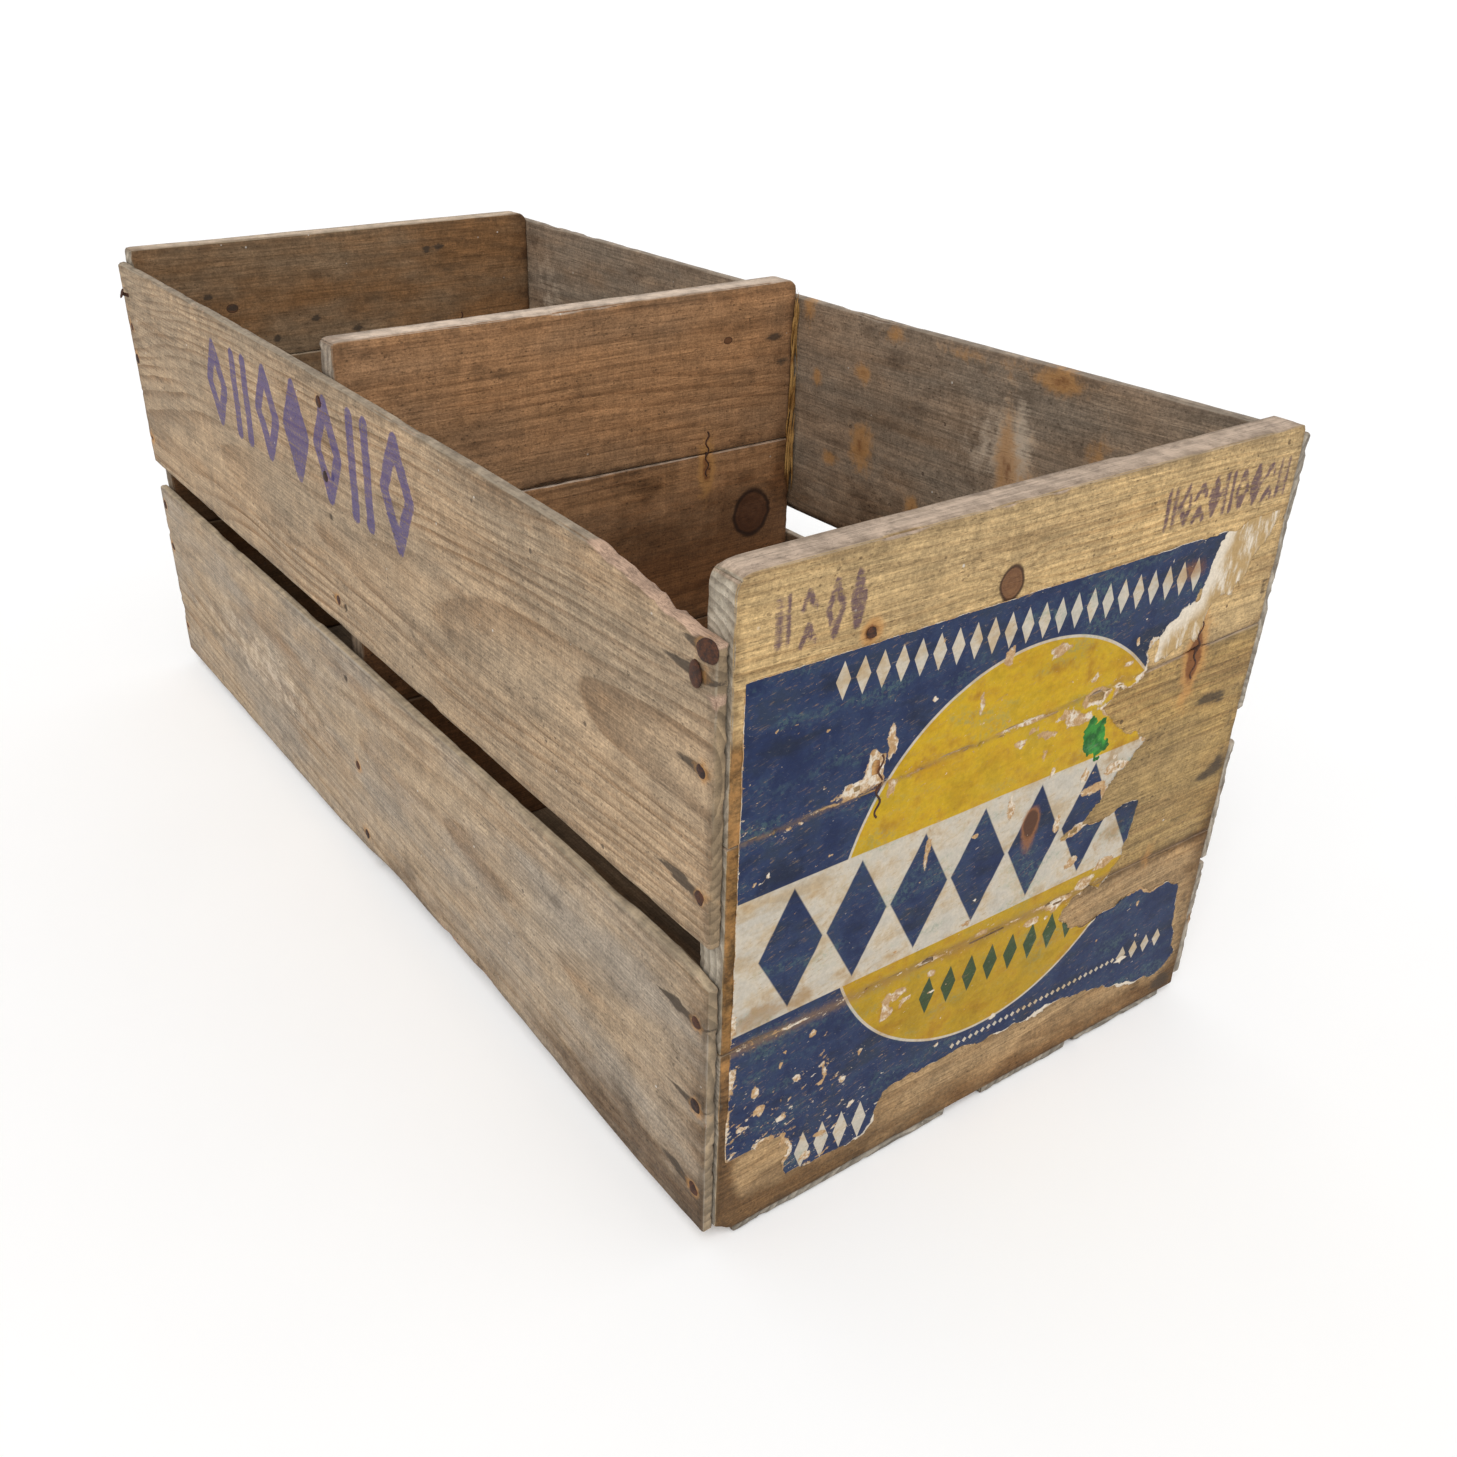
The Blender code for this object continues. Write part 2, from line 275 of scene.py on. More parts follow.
FRONT_LOW = Wood((0.42, 0.265, 0.125), (0.23, 0.125, 0.050), (0.35, 0.26, 0.155), (0.20, 0.10, 0.045),
                 (0.07, 0.045, 0.025), (0.32, 0.22, 0.15), 0.4, 0.6, 0.7, 0.35)
INNER = Wood((0.425, 0.222, 0.102), (0.22, 0.102, 0.042), (0.35, 0.235, 0.145), (0.30, 0.15, 0.065),
             (0.07, 0.04, 0.022), (0.66, 0.53, 0.42), 0.35, 0.5, 0.6, 0.6)
REAR = Wood((0.40, 0.27, 0.135), (0.22, 0.125, 0.052), (0.34, 0.27, 0.18), (0.245, 0.124, 0.051),
            (0.08, 0.052, 0.03), (0.60, 0.47, 0.35), 0.45, 0.5, 0.75, 0.5)
# The floor slats are painted very dark as painted shade, for they lie in shade inside the crate
FLOOR = Wood((0.15, 0.10, 0.06), (0.09, 0.055, 0.03), (0.12, 0.095, 0.07), (0.1, 0.07, 0.04),
             (0.04, 0.03, 0.02), (0.16, 0.12, 0.08), 0.4, 0.5, 0.6, 0.5)


def wood_material(name, kind, axes, seed, pith, ring, tilt, knots, inward):
    """Sawn and weathered softwood. axes names the grain's, the width's and the thickness's axis.

    pith is where the tree's middle lies across the width and thickness, ring the width of a year's ring,
    tilt how the middle runs off along the grain, a knot is (along, across, half length, half width), and
    inward is the axis and sign of the face inside the crate, which is painted darker as painted shade,
    or None if both faces are inside and neither is painted so.
    """
    g = Graph(name)
    here = g.place()
    world = dict(zip("XYZ", g.split(here)))
    along, across, deep = (world[axis] for axis in axes)
    facing = dict(zip("XYZ", g.split(g.node("ShaderNodeNewGeometry").outputs["Normal"])))

    def grained(run, side, shift=0.0, **settings):
        """Noise drawn out along the grain: run and side are how fine it is along it and across it."""
        place = g.vector(g.times(along, run), g.times(across, side), g.add(g.times(deep, side), shift))
        return g.noise(place, **settings)

    # Years' rings, bent by slow waves and round the knots
    wave = grained(0.0036, 0.016, seed, detail=1.5)
    ripple = grained(0.011, 0.08, seed + 3.7)
    bend = g.add(g.swing(wave, 46.0), g.swing(ripple, 4.5))
    knot_heart, knot_rim, nearest = 0.0, 0.0, 9.0
    for knot_along, knot_across, half_long, half_wide in knots:
        wobble = g.swing(ripple, half_wide * 0.5)
        run = g.math("DIVIDE", g.add(along, -knot_along, wobble), half_long)
        side = g.math("DIVIDE", g.add(across, -knot_across, wobble), half_wide)
        off = g.length(run, side)
        swell = g.math("EXPONENT", g.times(off, off, -0.22))
        bend = g.add(bend, g.times(swell, g.times(g.step(side, -0.6, 0.6, -1.0, 1.0), half_wide * 1.3)))
        knot_heart = g.math("MAXIMUM", knot_heart, g.step(off, 1.04, 0.94))
        knot_rim = g.math("MAXIMUM", knot_rim, g.times(g.step(off, 0.8, 0.95), g.step(off, 1.16, 1.0)))
        nearest = g.math("MINIMUM", nearest, off)
    wide = g.add(across, -pith[0], g.times(along, tilt[0]), bend)
    thick = g.add(deep, -pith[1], g.times(along, tilt[1]))
    year = g.math("FRACT", g.math("DIVIDE", g.length(wide, thick), ring))
    strength = g.noise(g.vector(g.times(along, 0.005), g.times(across, 0.05), g.add(deep, seed)), detail=1)
    late = g.times(g.step(year, 0.35, 0.88), g.step(year, 1.0, 0.94))
    late = g.times(late, g.step(strength, 0.3, 0.7, 0.3, 1.0), kind.figure)

    # Fibres and pores, large weather patches, brown soaking, the marks of the saw, and fine dirt
    fibre = grained(0.016, 0.85, seed, detail=5, roughness=0.72)
    hair = grained(0.09, 3.0, seed)
    patch = grained(0.008, 0.024, seed * 1.7, detail=4, roughness=0.6)
    soak = grained(0.007, 0.05, seed * 2.3 + 9, detail=4, roughness=0.62)
    saw = grained(0.55, 0.012)
    dash = grained(0.22, 1.7, seed * 0.7, detail=3, roughness=0.7)
    smudge = grained(0.022, 0.05, seed * 3.1, detail=5, roughness=0.72)
    mottle = g.noise(here, scale=0.11, detail=4, roughness=0.7)
    grain = g.noise(here, scale=0.75, detail=3, roughness=0.75)

    g.colour = g.mix(late, kind.early, kind.late)
    # Painted shade: the face inside the crate is painted in the darker inside colours
    if inward:
        axis, sign = inward
        within = g.mix(g.times(late, 0.7), kind.inside, tuple(0.55 * part for part in kind.inside))
        g.paint(within, g.step(g.times(facing[axis], float(sign)), 0.3, 0.8))
    g.paint(kind.grey, g.step(patch, 0.36, 0.68), kind.weather)
    g.paint(BROWN_STAIN, g.step(soak, 0.5, 0.78), kind.brown)
    shade = g.times(
        g.step(fibre, 0.32, 0.68, 0.70, 1.18), g.step(mottle, 0.32, 0.66, 0.82, 1.12),
        g.step(patch, 0.3, 0.7, 1.08, 0.88), g.step(grain, 0.34, 0.66, 0.78, 1.16),
        g.step(saw, 0.25, 0.75, 1.0 - 0.14 * kind.saw, 1.0 + 0.06 * kind.saw),
    )
    g.colour = g.tone(g.colour, shade)
    g.paint(kind.dirt, g.step(hair, 0.64, 0.74), 0.5)
    g.paint(kind.dirt, g.step(dash, 0.60, 0.72), g.step(mottle, 0.36, 0.6), 0.6)
    g.paint(kind.dirt, g.step(smudge, 0.54, 0.74), 0.5)
    dots = g.cells(g.vector(g.times(along, 0.7), across, g.add(deep, seed)), scale=0.30)
    g.paint(kind.dirt, g.step(dots, 0.20, 0.12), g.step(smudge, 0.44, 0.58), 0.65)
    if knots:
        rings = g.math("SINE", g.times(nearest, 16.0))
        g.paint(g.mix(g.step(rings, -1.0, 1.0, 0.0, 0.4), KNOT_HEART, KNOT_RING), knot_heart, 0.92)
        g.paint(KNOT_RIM, knot_rim, 0.85)

    # The sawn edges are rougher and greyer and painted paler, partly weathering and partly a painted
    # highlight on the upper edges; the end grain is darker
    lumps = g.step(g.add(g.times(mottle, 0.5), g.times(fibre, 0.5)), 0.36, 0.62, 0.62, 1.15)
    sawn = g.step(g.math("ABSOLUTE", facing[axes[1]]), 0.5, 0.85)
    g.paint(g.tone(kind.edge, lumps), sawn, 0.92)
    end_tone = g.mix(g.step(year, 0.2, 0.9), kind.end, tuple(0.62 * part for part in kind.end))
    end = g.step(g.math("ABSOLUTE", facing[axes[0]]), 0.55, 0.85)
    g.paint(g.tone(end_tone, g.step(mottle, 0.3, 0.68, 0.6, 1.08)), end, 0.85)

    # Edges: bruised pale where they are rubbed, dark where dirt has settled, fresh where they are torn
    edge = g.add(g.field("arris"), g.swing(mottle, 9.0))
    g.paint(kind.dirt, g.step(edge, 6.0, 0.0), 0.38)
    rubbed = g.times(g.step(g.field("arris"), 1.3, 0.2), g.step(patch, 0.4, 0.62))
    g.paint(kind.grey, rubbed, 0.5)
    splinters = g.step(g.add(g.times(mottle, 0.5), g.times(hair, 0.5)), 0.36, 0.62, 0.55, 1.15)
    torn = g.step(g.add(g.field("fresh"), g.times(mottle, 0.6)), 0.6, 1.0)
    g.paint(g.tone(FRESH_WOOD, splinters), torn)

    # Grime and painted shade low down, stains from the nails, rust and stencil ink
    # Darkens where there is grime, and paints shade low down and in the corners inside the crate
    grime_and_shade = g.add(g.field("grime_and_shade"), g.swing(smudge, 1.3), g.swing(fibre, 0.6))
    g.paint(g.tone(g.colour, GRIME_AND_SHADE), g.step(grime_and_shade, 0.15, 0.9), 0.9)
    pale = g.add(g.field("pale"), g.swing(mottle, 1.2), g.swing(fibre, 0.8))
    g.paint(PALE_WASH, g.step(pale, 0.3, 0.9), 0.7)
    iron = g.add(g.field("iron"), g.swing(fibre, 1.1), g.swing(mottle, 0.9))
    g.paint(IRON_STAIN, g.step(iron, 0.36, 0.72), 0.88)
    rust = g.add(g.field("rust"), g.swing(mottle, 0.9))
    g.paint(RUST_GLOW, g.step(rust, 0.12, 0.5), 0.7)
    g.paint(RUST, g.step(rust, 0.5, 0.85), 0.85)
    worn = g.add(g.swing(mottle, 2.2), g.swing(hair, 1.6))
    stamp = g.step(g.add(g.field("ink"), worn), 0.5, -0.5)
    stamp = g.times(stamp, g.step(g.add(g.times(grain, 0.55), g.times(fibre, 0.55)), 0.40, 0.56))
    g.paint(kind.ink, stamp, 0.80)

    # Dark pits and pale crumbs
    pits = g.step(g.cells(here, scale=0.055), 0.075, 0.05)
    g.paint(kind.dirt, pits, g.step(mottle, 0.5, 0.56), 0.8)
    crumbs = g.step(g.cells(g.vector(g.add(along, 31.0), across, deep), scale=0.075), 0.06, 0.04)
    g.paint(PALE_SPECK, crumbs, g.step(soak, 0.5, 0.56), 0.8)

    height = g.add(
        g.times(fibre, 0.55), g.times(late, 0.25), g.times(saw, 0.5 * kind.saw), g.times(pits, -0.5),
        g.times(crumbs, 0.4), g.times(mottle, 0.5), g.times(g.step(dash, 0.58, 0.72), -0.5),
    )
    g.bump(height, 0.6, 0.85)
    return g.finish(g.add(0.68, g.times(mottle, 0.25)), 0.2)


# ---- meshes


def make_object(name, points, faces, material, fields=None):
    mesh = bpy.data.meshes.new(name)
    mesh.from_pydata((points * MM).tolist(), [], [tuple(face) for face in faces])
    mesh.materials.append(material)
    for field, values in (fields or {}).items():
        attribute = mesh.attributes.new(field, "FLOAT", "POINT")
        attribute.data.foreach_set("value", np.asarray(values, np.float32))
    mesh.shade_smooth()
    thing = bpy.data.objects.new(name, mesh)
    bpy.context.scene.collection.objects.link(thing)
    return thing


def grid_lines(length, step, edge):
    """Places of the grid's lines: three in each rounded edge, evenly spaced between."""
    count = max(1, round((length - 2 * edge) / step))
    middle = np.linspace(edge, length - edge, count + 1)
    return np.concatenate(([0, 0.45 * edge], middle, [length - 0.45 * edge, length]))


def grid_quads(index):
    """The quads of a grid of point numbers."""
    return np.stack([index[:-1, :-1], index[1:, :-1], index[1:, 1:], index[:-1, 1:]], -1).reshape(-1, 4)


def box_grid(a, b, c):
    """The surface of a box as points and quads that face out, with a grid line at each given place."""
    shape = (len(a), len(b), len(c))
    index = np.arange(np.prod(shape)).reshape(shape)
    quads = []
    for axis in range(3):
        for end in (0, -1):
            face = np.take(index, end, axis=axis)
            quad = grid_quads(face)
            quads.append(quad if (end == -1) != (axis == 1) else quad[:, ::-1])
    used, faces = np.unique(np.concatenate(quads), return_inverse=True)
    i, j, k = np.unravel_index(used, shape)
    return np.stack([a[i], b[j], c[k]], 1), faces.reshape(-1, 4)


def segment_distance(points, start, end):
    start, end = np.array(start, float), np.array(end, float)
    run = end - start
    part = np.clip((points - start) @ run / max(run @ run, 1e-9), 0, 1)
    return np.linalg.norm(points - start - part[:, None] * run, axis=1)


SPOT_POWER = 1.6
# The distance in millimetres that stands for no ink near
NO_INK = 6.0


class Plank:
    """One board or slat: a worn, rounded, slightly uneven box with fields for its stains and its painted
    shade.
    """

    def __init__(self, node, axes, low, high, steps, radius, seed):
        self.node = node
        self.seed = seed
        self.order = ["XYZ".index(axis) for axis in axes]
        self.low = np.array(low, float)
        size = (np.array(high, float) - self.low)[self.order]
        edge = min(radius * 1.25, size.min() * 0.42)
        lines = [grid_lines(length, step, edge) for length, step in zip(size, (*steps, 3.0))]
        local, faces = box_grid(*lines)
        inner = np.clip(local, edge, size - edge)
        away = local - inner
        away /= np.maximum(np.linalg.norm(away, axis=1), 1e-9)[:, None]
        gaps = np.sort(np.minimum(local, size - local), axis=1)
        self.arris = gaps[:, 1]
        self.faces = faces if axes in ("XYZ", "YZX", "ZXY") else faces[:, ::-1]
        self.points = np.empty_like(local)
        self.points[:, self.order] = inner + edge * away
        self.points += self.low
        self.out = np.empty_like(away)
        self.out[:, self.order] = away
        self.corner = np.clip((1 - np.abs(away).max(axis=1)) / 0.29, 0, 1)
        self.stretch = np.ones(3)
        self.stretch[self.order[0]] = 6.0
        self.fields = {name: np.zeros(len(local)) for name in ("iron", "rust", "fresh", "grime_and_shade", "pale")}
        self.fields |= {"ink": np.full(len(local), NO_INK), "arris": self.arris}

    def face(self, axis, sign):
        """1 on the face that looks along an axis, 0 on the others."""
        return (self.out[:, "XYZ".index(axis)] * sign > 0.6).astype(float)

    def wear(self, relief=0.35, rub=0.7, chips=1.6):
        """Uneven faces, rubbed edges with small bites out of them, and rough ends."""
        p = self.points
        ends = np.abs(self.out[:, self.order[0]]) > 0.6
        rise = relief * noise(p, self.stretch * 14, self.seed)
        rise += 0.12 * noise(p, self.stretch * 2.2, self.seed + 7)
        rise += ends * 0.35 * noise(p, 2.5, self.seed + 11)
        rubbed = rub * (0.4 + 0.6 * noise(p, self.stretch * 6, self.seed + 20))
        bites = chips * np.maximum(0, noise(p, self.stretch * 4.5, self.seed + 30, 3) - 0.22) * 2.2
        near = np.exp(-((self.arris / 2.2) ** 2))
        rise -= self.corner * np.maximum(rubbed, 0) + near * bites
        self.points = p + self.out * rise[:, None]
        self.fields["fresh"] += near * np.minimum(bites, 1.0) * 0.55
        return self

    def spot(self, field, point, sizes, amount):
        """Adds a soft spot round a point to a field. sizes are its half sizes along X, Y and Z."""
        off = np.abs((self.points - np.array(point, float)) / np.array(sizes, float)) ** SPOT_POWER
        self.fields[field] += amount * np.exp(-off.sum(axis=1))
        return self

    def streak(self, point, reach, height, amount):
        """A wedge of iron stain drawn along the grain out of a nail hole, longer to the rear."""
        run = self.points[:, self.order[0]] - point[self.order[0]]
        left = 1 - np.where(run > 0, run / reach, -run / (0.35 * reach))
        off = (self.points[:, self.order[1]] - point[self.order[1]]) / (height * np.clip(left, 0.15, 1))
        close = np.abs(self.points[:, self.order[2]] - point[self.order[2]]) < 4
        self.fields["iron"] += amount * close * np.sqrt(np.clip(left, 0, 1)) * np.exp(-(off**2))
        return self

    def dimple(self, point, radius, depth):
        off = np.linalg.norm(self.points - np.array(point, float), axis=1) / radius
        self.points -= self.out * (depth * np.exp(-off * off))[:, None]
        return self

    def build(self, material, slot_name):
        piece = make_object(self.node + "_wood", self.points, self.faces, material, self.fields)
        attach(piece, "root")
        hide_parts(self.node)
        return piece


# ---- boards of the ends and the divider

# How round the top corners have worn, left and right
CORNERS = {"front_panel": (8.0, 3.0), "divider": (3.5, 7.0), "rear_panel": (2.5, 7.0)}
# Panel: the left and right levels of its upper seam, and of its lower one
SEAMS = {
    "front_panel": ((206.0, 218.0), (108.0, 104.0)),
    "divider": ((221.0, 219.0), (110.0, 110.0)),
    "rear_panel": ((228.0, 229.0), (114.0, 114.0)),
}
SEAM_GAP = 0.45


def panel_board(panel, which, seed, steps=(3.2, 2.2)):
    node = f"{panel}_board_{which}"
    low, high = cad_box(node)
    upper, lower = SEAMS[panel]
    bottoms = {"bottom": (low[2], low[2]), "middle": lower, "top": upper}[which]
    tops = {"bottom": lower, "middle": upper, "top": (high[2], high[2])}[which]
    base, crest = sum(bottoms) / 2, sum(tops) / 2
    plank = Plank(node, "XZY", (-HALF_WIDTH, low[1], base), (HALF_WIDTH, high[1], crest), steps, 0.8, seed)
    x, z = plank.points[:, 0], plank.points[:, 2]
    part = (x + HALF_WIDTH) / (2 * HALF_WIDTH)
    under = bottoms[0] + (bottoms[1] - bottoms[0]) * part + (which != "bottom") * SEAM_GAP / 2
    over = tops[0] + (tops[1] - tops[0]) * part - (which != "top") * SEAM_GAP / 2
    z[:] = under + (z - base) / (crest - base) * (over - under)
    if which == "top":
        radius = np.where(x < 0, *CORNERS[panel])
        u, v = radius - (HALF_WIDTH - np.abs(x)), radius - (crest - z)
        corner = (u > 0) & (v > 0)
        pull = np.maximum(u, v) / np.maximum(np.hypot(u, v), 1e-9)
        x[:] = np.where(corner, np.sign(x) * (HALF_WIDTH - radius + u * pull), x)
        z[:] = np.where(corner, crest - radius + v * pull, z)
    if panel == "divider":
        x *= 1 - DIVIDER_NARROWING / HALF_WIDTH * (z - PANEL_FOOT) / (DIVIDER_TOP - PANEL_FOOT)
    return plank


# ---- side slats


def slat_bow(name, y, z, low, high):
    """How far in the upper slats lean where the narrower divider pulls them."""
    if name not in ("left_slat_top", "right_slat_top"):
        return 0.0
    along = y / high[1]
    top = high[2] - (LEFT_RISE * (1 - along) / 2 if name == "left_slat_top" else 0.0)
    return SLAT_BOW * (1 - along * along) * (z - low[2]) / (top - low[2])


def side_slat(name, seed, steps=(3.0, 2.2)):
    low, high = cad_box(name)
    side = -1 if name.startswith("left") else 1
    # The bow widens the CAD's box, so the thickness is counted from the outer face
    low[0], high[0] = sorted((side * SLAT_FACE, side * (SLAT_FACE - SLAT_THICK)))
    plank = Plank(name, "YZX", low, high, steps, 1.3, seed)
    x, y, z = plank.points.T
    rise = (z - low[2]) / (high[2] - low[2])
    if name == "left_slat_top":
        z -= LEFT_RISE * (SLAT_END - y) / (2 * SLAT_END) * smooth(rise, 0.6, 1.0)
        jags = 1.6 * noise(np.stack([y * 0.35, y * 0, y * 0], 1), 2.0, 5, 3)
        jags = jags + 0.9 * noise(np.stack([x, y, z], 1), (2, 8, 8), 6)
        torn = smooth(-y, 262, 345) * 9.5 + smooth(-y, 262, 280) * jags
        z -= torn * smooth(rise, 0.72, 1.0)
        plank.fields["fresh"] += smooth(-y, 258, 276) * smooth(rise, 0.982, 0.997) * 0.9
    if name == "left_slat_bottom":
        z -= 3.0 * (y + SLAT_END) / (2 * SLAT_END) * smooth(rise, 0.6, 1.0)
        z -= 4.0 * smooth(-y, 325, 352) * smooth(rise, 0.8, 1.0)
        worn = smooth(y, -290, -150) * smooth(-y, -60, 60)
        z += (7.0 * worn + 1.2 * noise(plank.points, (1, 30, 1), 8)) * smooth(1 - rise, 0.8, 1.0)
        plank.fields["fresh"] += worn * smooth(1 - rise, 0.90, 0.97) * 0.35
    x -= side * slat_bow(name, y, z, low, high)
    return plank


# ---- stencilled marks


def mark_strokes(kind):
    """A plain geometric mark as strokes in a box one wide and one high."""
    if kind == "lozenge":
        return [((0.5, 0), (1, 0.5)), ((1, 0.5), (0.5, 1)), ((0.5, 1), (0, 0.5)), ((0, 0.5), (0.5, 0))]
    if kind == "bars":
        return [((0.12, 0), (0.12, 1)), ((0.88, 0), (0.88, 1))]
    if kind == "solid":
        return [*mark_strokes("lozenge"), ((0.5, 0.2), (0.5, 0.8)), ((0.3, 0.5), (0.7, 0.5))]
    if kind == "chevrons":
        return [((0, b), (0.5, b + 0.34)) for b in (0, 0.62)] + [((0.5, b + 0.34), (1, b)) for b in (0, 0.62)]
    raise ValueError(f"no mark called {kind}")


def stencil(plank, axis, marks, stroke):
    """Lowers the plank's ink distance round each mark, given as kind, start, end, bottom and top."""
    place = np.stack([plank.points[:, axis], plank.points[:, 2]], 1)
    ink = plank.fields["ink"]
    outer = plank.face("YX"[axis], -1) > 0
    for kind, start, end, bottom, top in marks:
        for first, last in mark_strokes(kind):
            ends = [(start + (end - start) * u, bottom + (top - bottom) * v) for u, v in (first, last)]
            np.minimum(ink, segment_distance(place, *ends) - stroke / 2, out=ink, where=outer)
    return plank


# ---- nails and fasteners


def rust_material(name, seed, dark=(0.026, 0.015, 0.012), bright=(0.090, 0.034, 0.017)):
    g = Graph(name)
    here = g.place()
    lumps = g.noise(g.vector(*g.split(here)), scale=0.35, detail=4, roughness=0.7)
    flakes = g.noise(here, scale=1.3, detail=3, roughness=0.7)
    scale = g.add(g.times(lumps, 0.6), g.times(flakes, 0.4))
    g.colour = g.mix(g.step(scale, 0.36 + 0.02 * seed, 0.62), dark, bright)
    g.paint((0.24, 0.10, 0.04), g.step(flakes, 0.6, 0.75), 0.5)
    g.bump(scale, 0.5, 0.8)
    g.shader.inputs["Metallic"].default_value = 0.15
    return g.finish(g.add(0.62, g.times(flakes, 0.3)))


def iron_piece(name, points, faces, material, node):
    piece = make_object(name, points, faces, material)
    bm = bmesh.new()
    bm.from_mesh(piece.data)
    bmesh.ops.recalc_face_normals(bm, faces=bm.faces)
    bm.to_mesh(piece.data)
    bm.free()
    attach(piece, "root")
    if node:
        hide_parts(node)
    return piece


# The head's outline from its top, as shares of its radius
NAIL_PROFILE = (
    (0.0, 0.75), (0.35, 0.72), (0.62, 0.6), (0.84, 0.38),
    (0.97, 0.08), (1.0, -0.25), (0.93, -0.6), (0.42, -0.85),
)
NAIL_SIDES = 20
SHANK = 1.15


def nail(name, head, outward, radius, length, material, seed, lift=0.0, tilt=0.0, node=None, bend=0.0):
    """A hammered nail: a lumpy domed head at head, its shank running in against outward."""
    levels = [(r * radius, h * radius * 0.28) for r, h in NAIL_PROFILE]
    levels += [(SHANK, -0.35 * radius), (SHANK, -length * 0.3), (SHANK, -length * 0.6)]
    levels += [(1.1, -length + 2.5), (0.05, -length)]
    angles = np.arange(NAIL_SIDES) * math.tau / NAIL_SIDES
    circle = np.stack([np.cos(angles), np.sin(angles)], 1)
    rings = [np.insert(r * circle, 2, h, axis=1) for r, h in levels[1:-1]]
    points = np.concatenate([[(0, 0, levels[0][1])], *rings, [(0, 0, levels[-1][1])]])
    count = len(rings)
    faces = []
    for side in range(NAIL_SIDES):
        after = (side + 1) % NAIL_SIDES
        faces.append((0, 1 + side, 1 + after))
        for ring in range(count - 1):
            a, b = 1 + ring * NAIL_SIDES, 1 + (ring + 1) * NAIL_SIDES
            faces.append((a + side, b + side, b + after, a + after))
        a = 1 + (count - 1) * NAIL_SIDES
        faces.append((a + side, len(points) - 1, a + after))
    head_part = points[:, 2] > -0.35 * radius
    lump = noise(points + 37.0 * seed, radius * 0.9, seed, 3)[:, None]
    points[:, :2] *= 1 + head_part[:, None] * 0.22 * lump
    points[:, 2] += head_part * 0.28 * lump[:, 0]
    points[:, 0] += bend * (points[:, 2] / length) ** 2
    turn = Vector((0, 0, 1)).rotation_difference(Vector(outward)).to_matrix()
    lean = Matrix.Rotation(tilt, 3, "X") @ Matrix.Rotation(seed * 2.4, 3, "Z")
    points = points @ np.array(turn @ lean).T + np.array(head, float) + lift * np.array(outward, float)
    return iron_piece(name, points, faces, material, node)


def cad_nail(node, material, seed):
    """Where a CAD nail's head is, which way it faces, and how wide it is."""
    low, high = cad_box(node)
    size = high - low
    axis = int(np.argmax(size))
    outward = np.zeros(3)
    outward[axis] = 1.0 if node.startswith("nail_right") else -1.0
    head = (low + high) / 2
    head[axis] = high[axis] if outward[axis] > 0 else low[axis]
    radius = min(np.delete(size, axis)) / 2
    large = radius > 4
    lift = 1.0 if large else (0.12, -0.1, 0.25, 0.0, 0.4)[seed % 5]
    tilt = (0.22 if large else 0.06) * (-1) ** seed
    radius *= 1.05 if large else 0.98
    return nail(node + "_iron", head, outward, radius, 33.0, material, seed, lift, tilt, node)


def fastener(name, x, front, level, material, node=None):
    """A corrugated strip across a seam, its front edge hammered nearly flush."""
    length, depth, thick, wave, waves = 28.0, 10.0, 0.9, 1.15, 3
    z = np.linspace(-length / 2, length / 2, 61)
    centre = wave * np.sin(math.tau * waves * z / length)
    slope = wave * math.tau * waves / length * np.cos(math.tau * waves * z / length)
    side = np.stack([np.ones_like(z), -slope], 1) / np.hypot(1, slope)[:, None] * thick / 2
    rows = []
    ragged = 0.22 * noise(np.stack([z, z * 0 + x, z * 0], 1), 3.0, 4)
    for y, out in ((0.0, 0.75), (0.0, 1.0), (depth, 1.0), (depth, 0.75)):
        edge = front + y + ragged * (y == 0) + (1 - out) * (-0.3 if y == 0 else 0.3)
        for sign in (1, -1):
            over, up = (sign * out * side).T
            rows.append(np.stack([x + centre + over, edge, level + z + up], 1))
    order = [0, 2, 4, 6, 7, 5, 3, 1]
    points = np.concatenate([rows[index] for index in order])
    count = len(z)
    faces = []
    for ring in range(len(order)):
        a, b = ring * count, (ring + 1) % len(order) * count
        faces += [(a + i, a + i + 1, b + i + 1, b + i) for i in range(count - 1)]
    faces.append(tuple(ring * count for ring in range(len(order))))
    faces.append(tuple(ring * count + count - 1 for ring in reversed(range(len(order)))))
    return iron_piece(name, points, faces, material, node)


# ---- the paper label

# The torn edge of the print, seen from the front as X and Z, from the top left corner onwards
PRINT_EDGE = [
    (-147, 271.5), (110, 271.5), (105, 260), (100, 242), (81, 235), (70, 225), (70, 213), (64, 212),
    (37, 207), (52, 199), (71, 185), (84, 179), (79, 176), (66, 165), (59, 155), (49, 148), (36, 141),
    (86, 145), (85, 134), (80, 113), (70, 102), (51, 105), (41, 94), (61, 82), (80, 83), (97, 87),
    (135, 78), (143, 30), (135, 18), (103, 28), (60, 40), (25, 38), (-20, 43), (-45, 41), (-60, 40),
    (-69, 20), (-88, 20), (-115, 21), (-119, 49), (-137, 48), (-148.5, 48),
]
# Where only the thin white backing of the paper is left
SHREDS = [
    (104, 271), (118, 272), (146, 274), (143, 262), (134, 252), (128, 240), (112, 238), (104, 222),
    (77, 219), (80, 237), (100, 243),
]
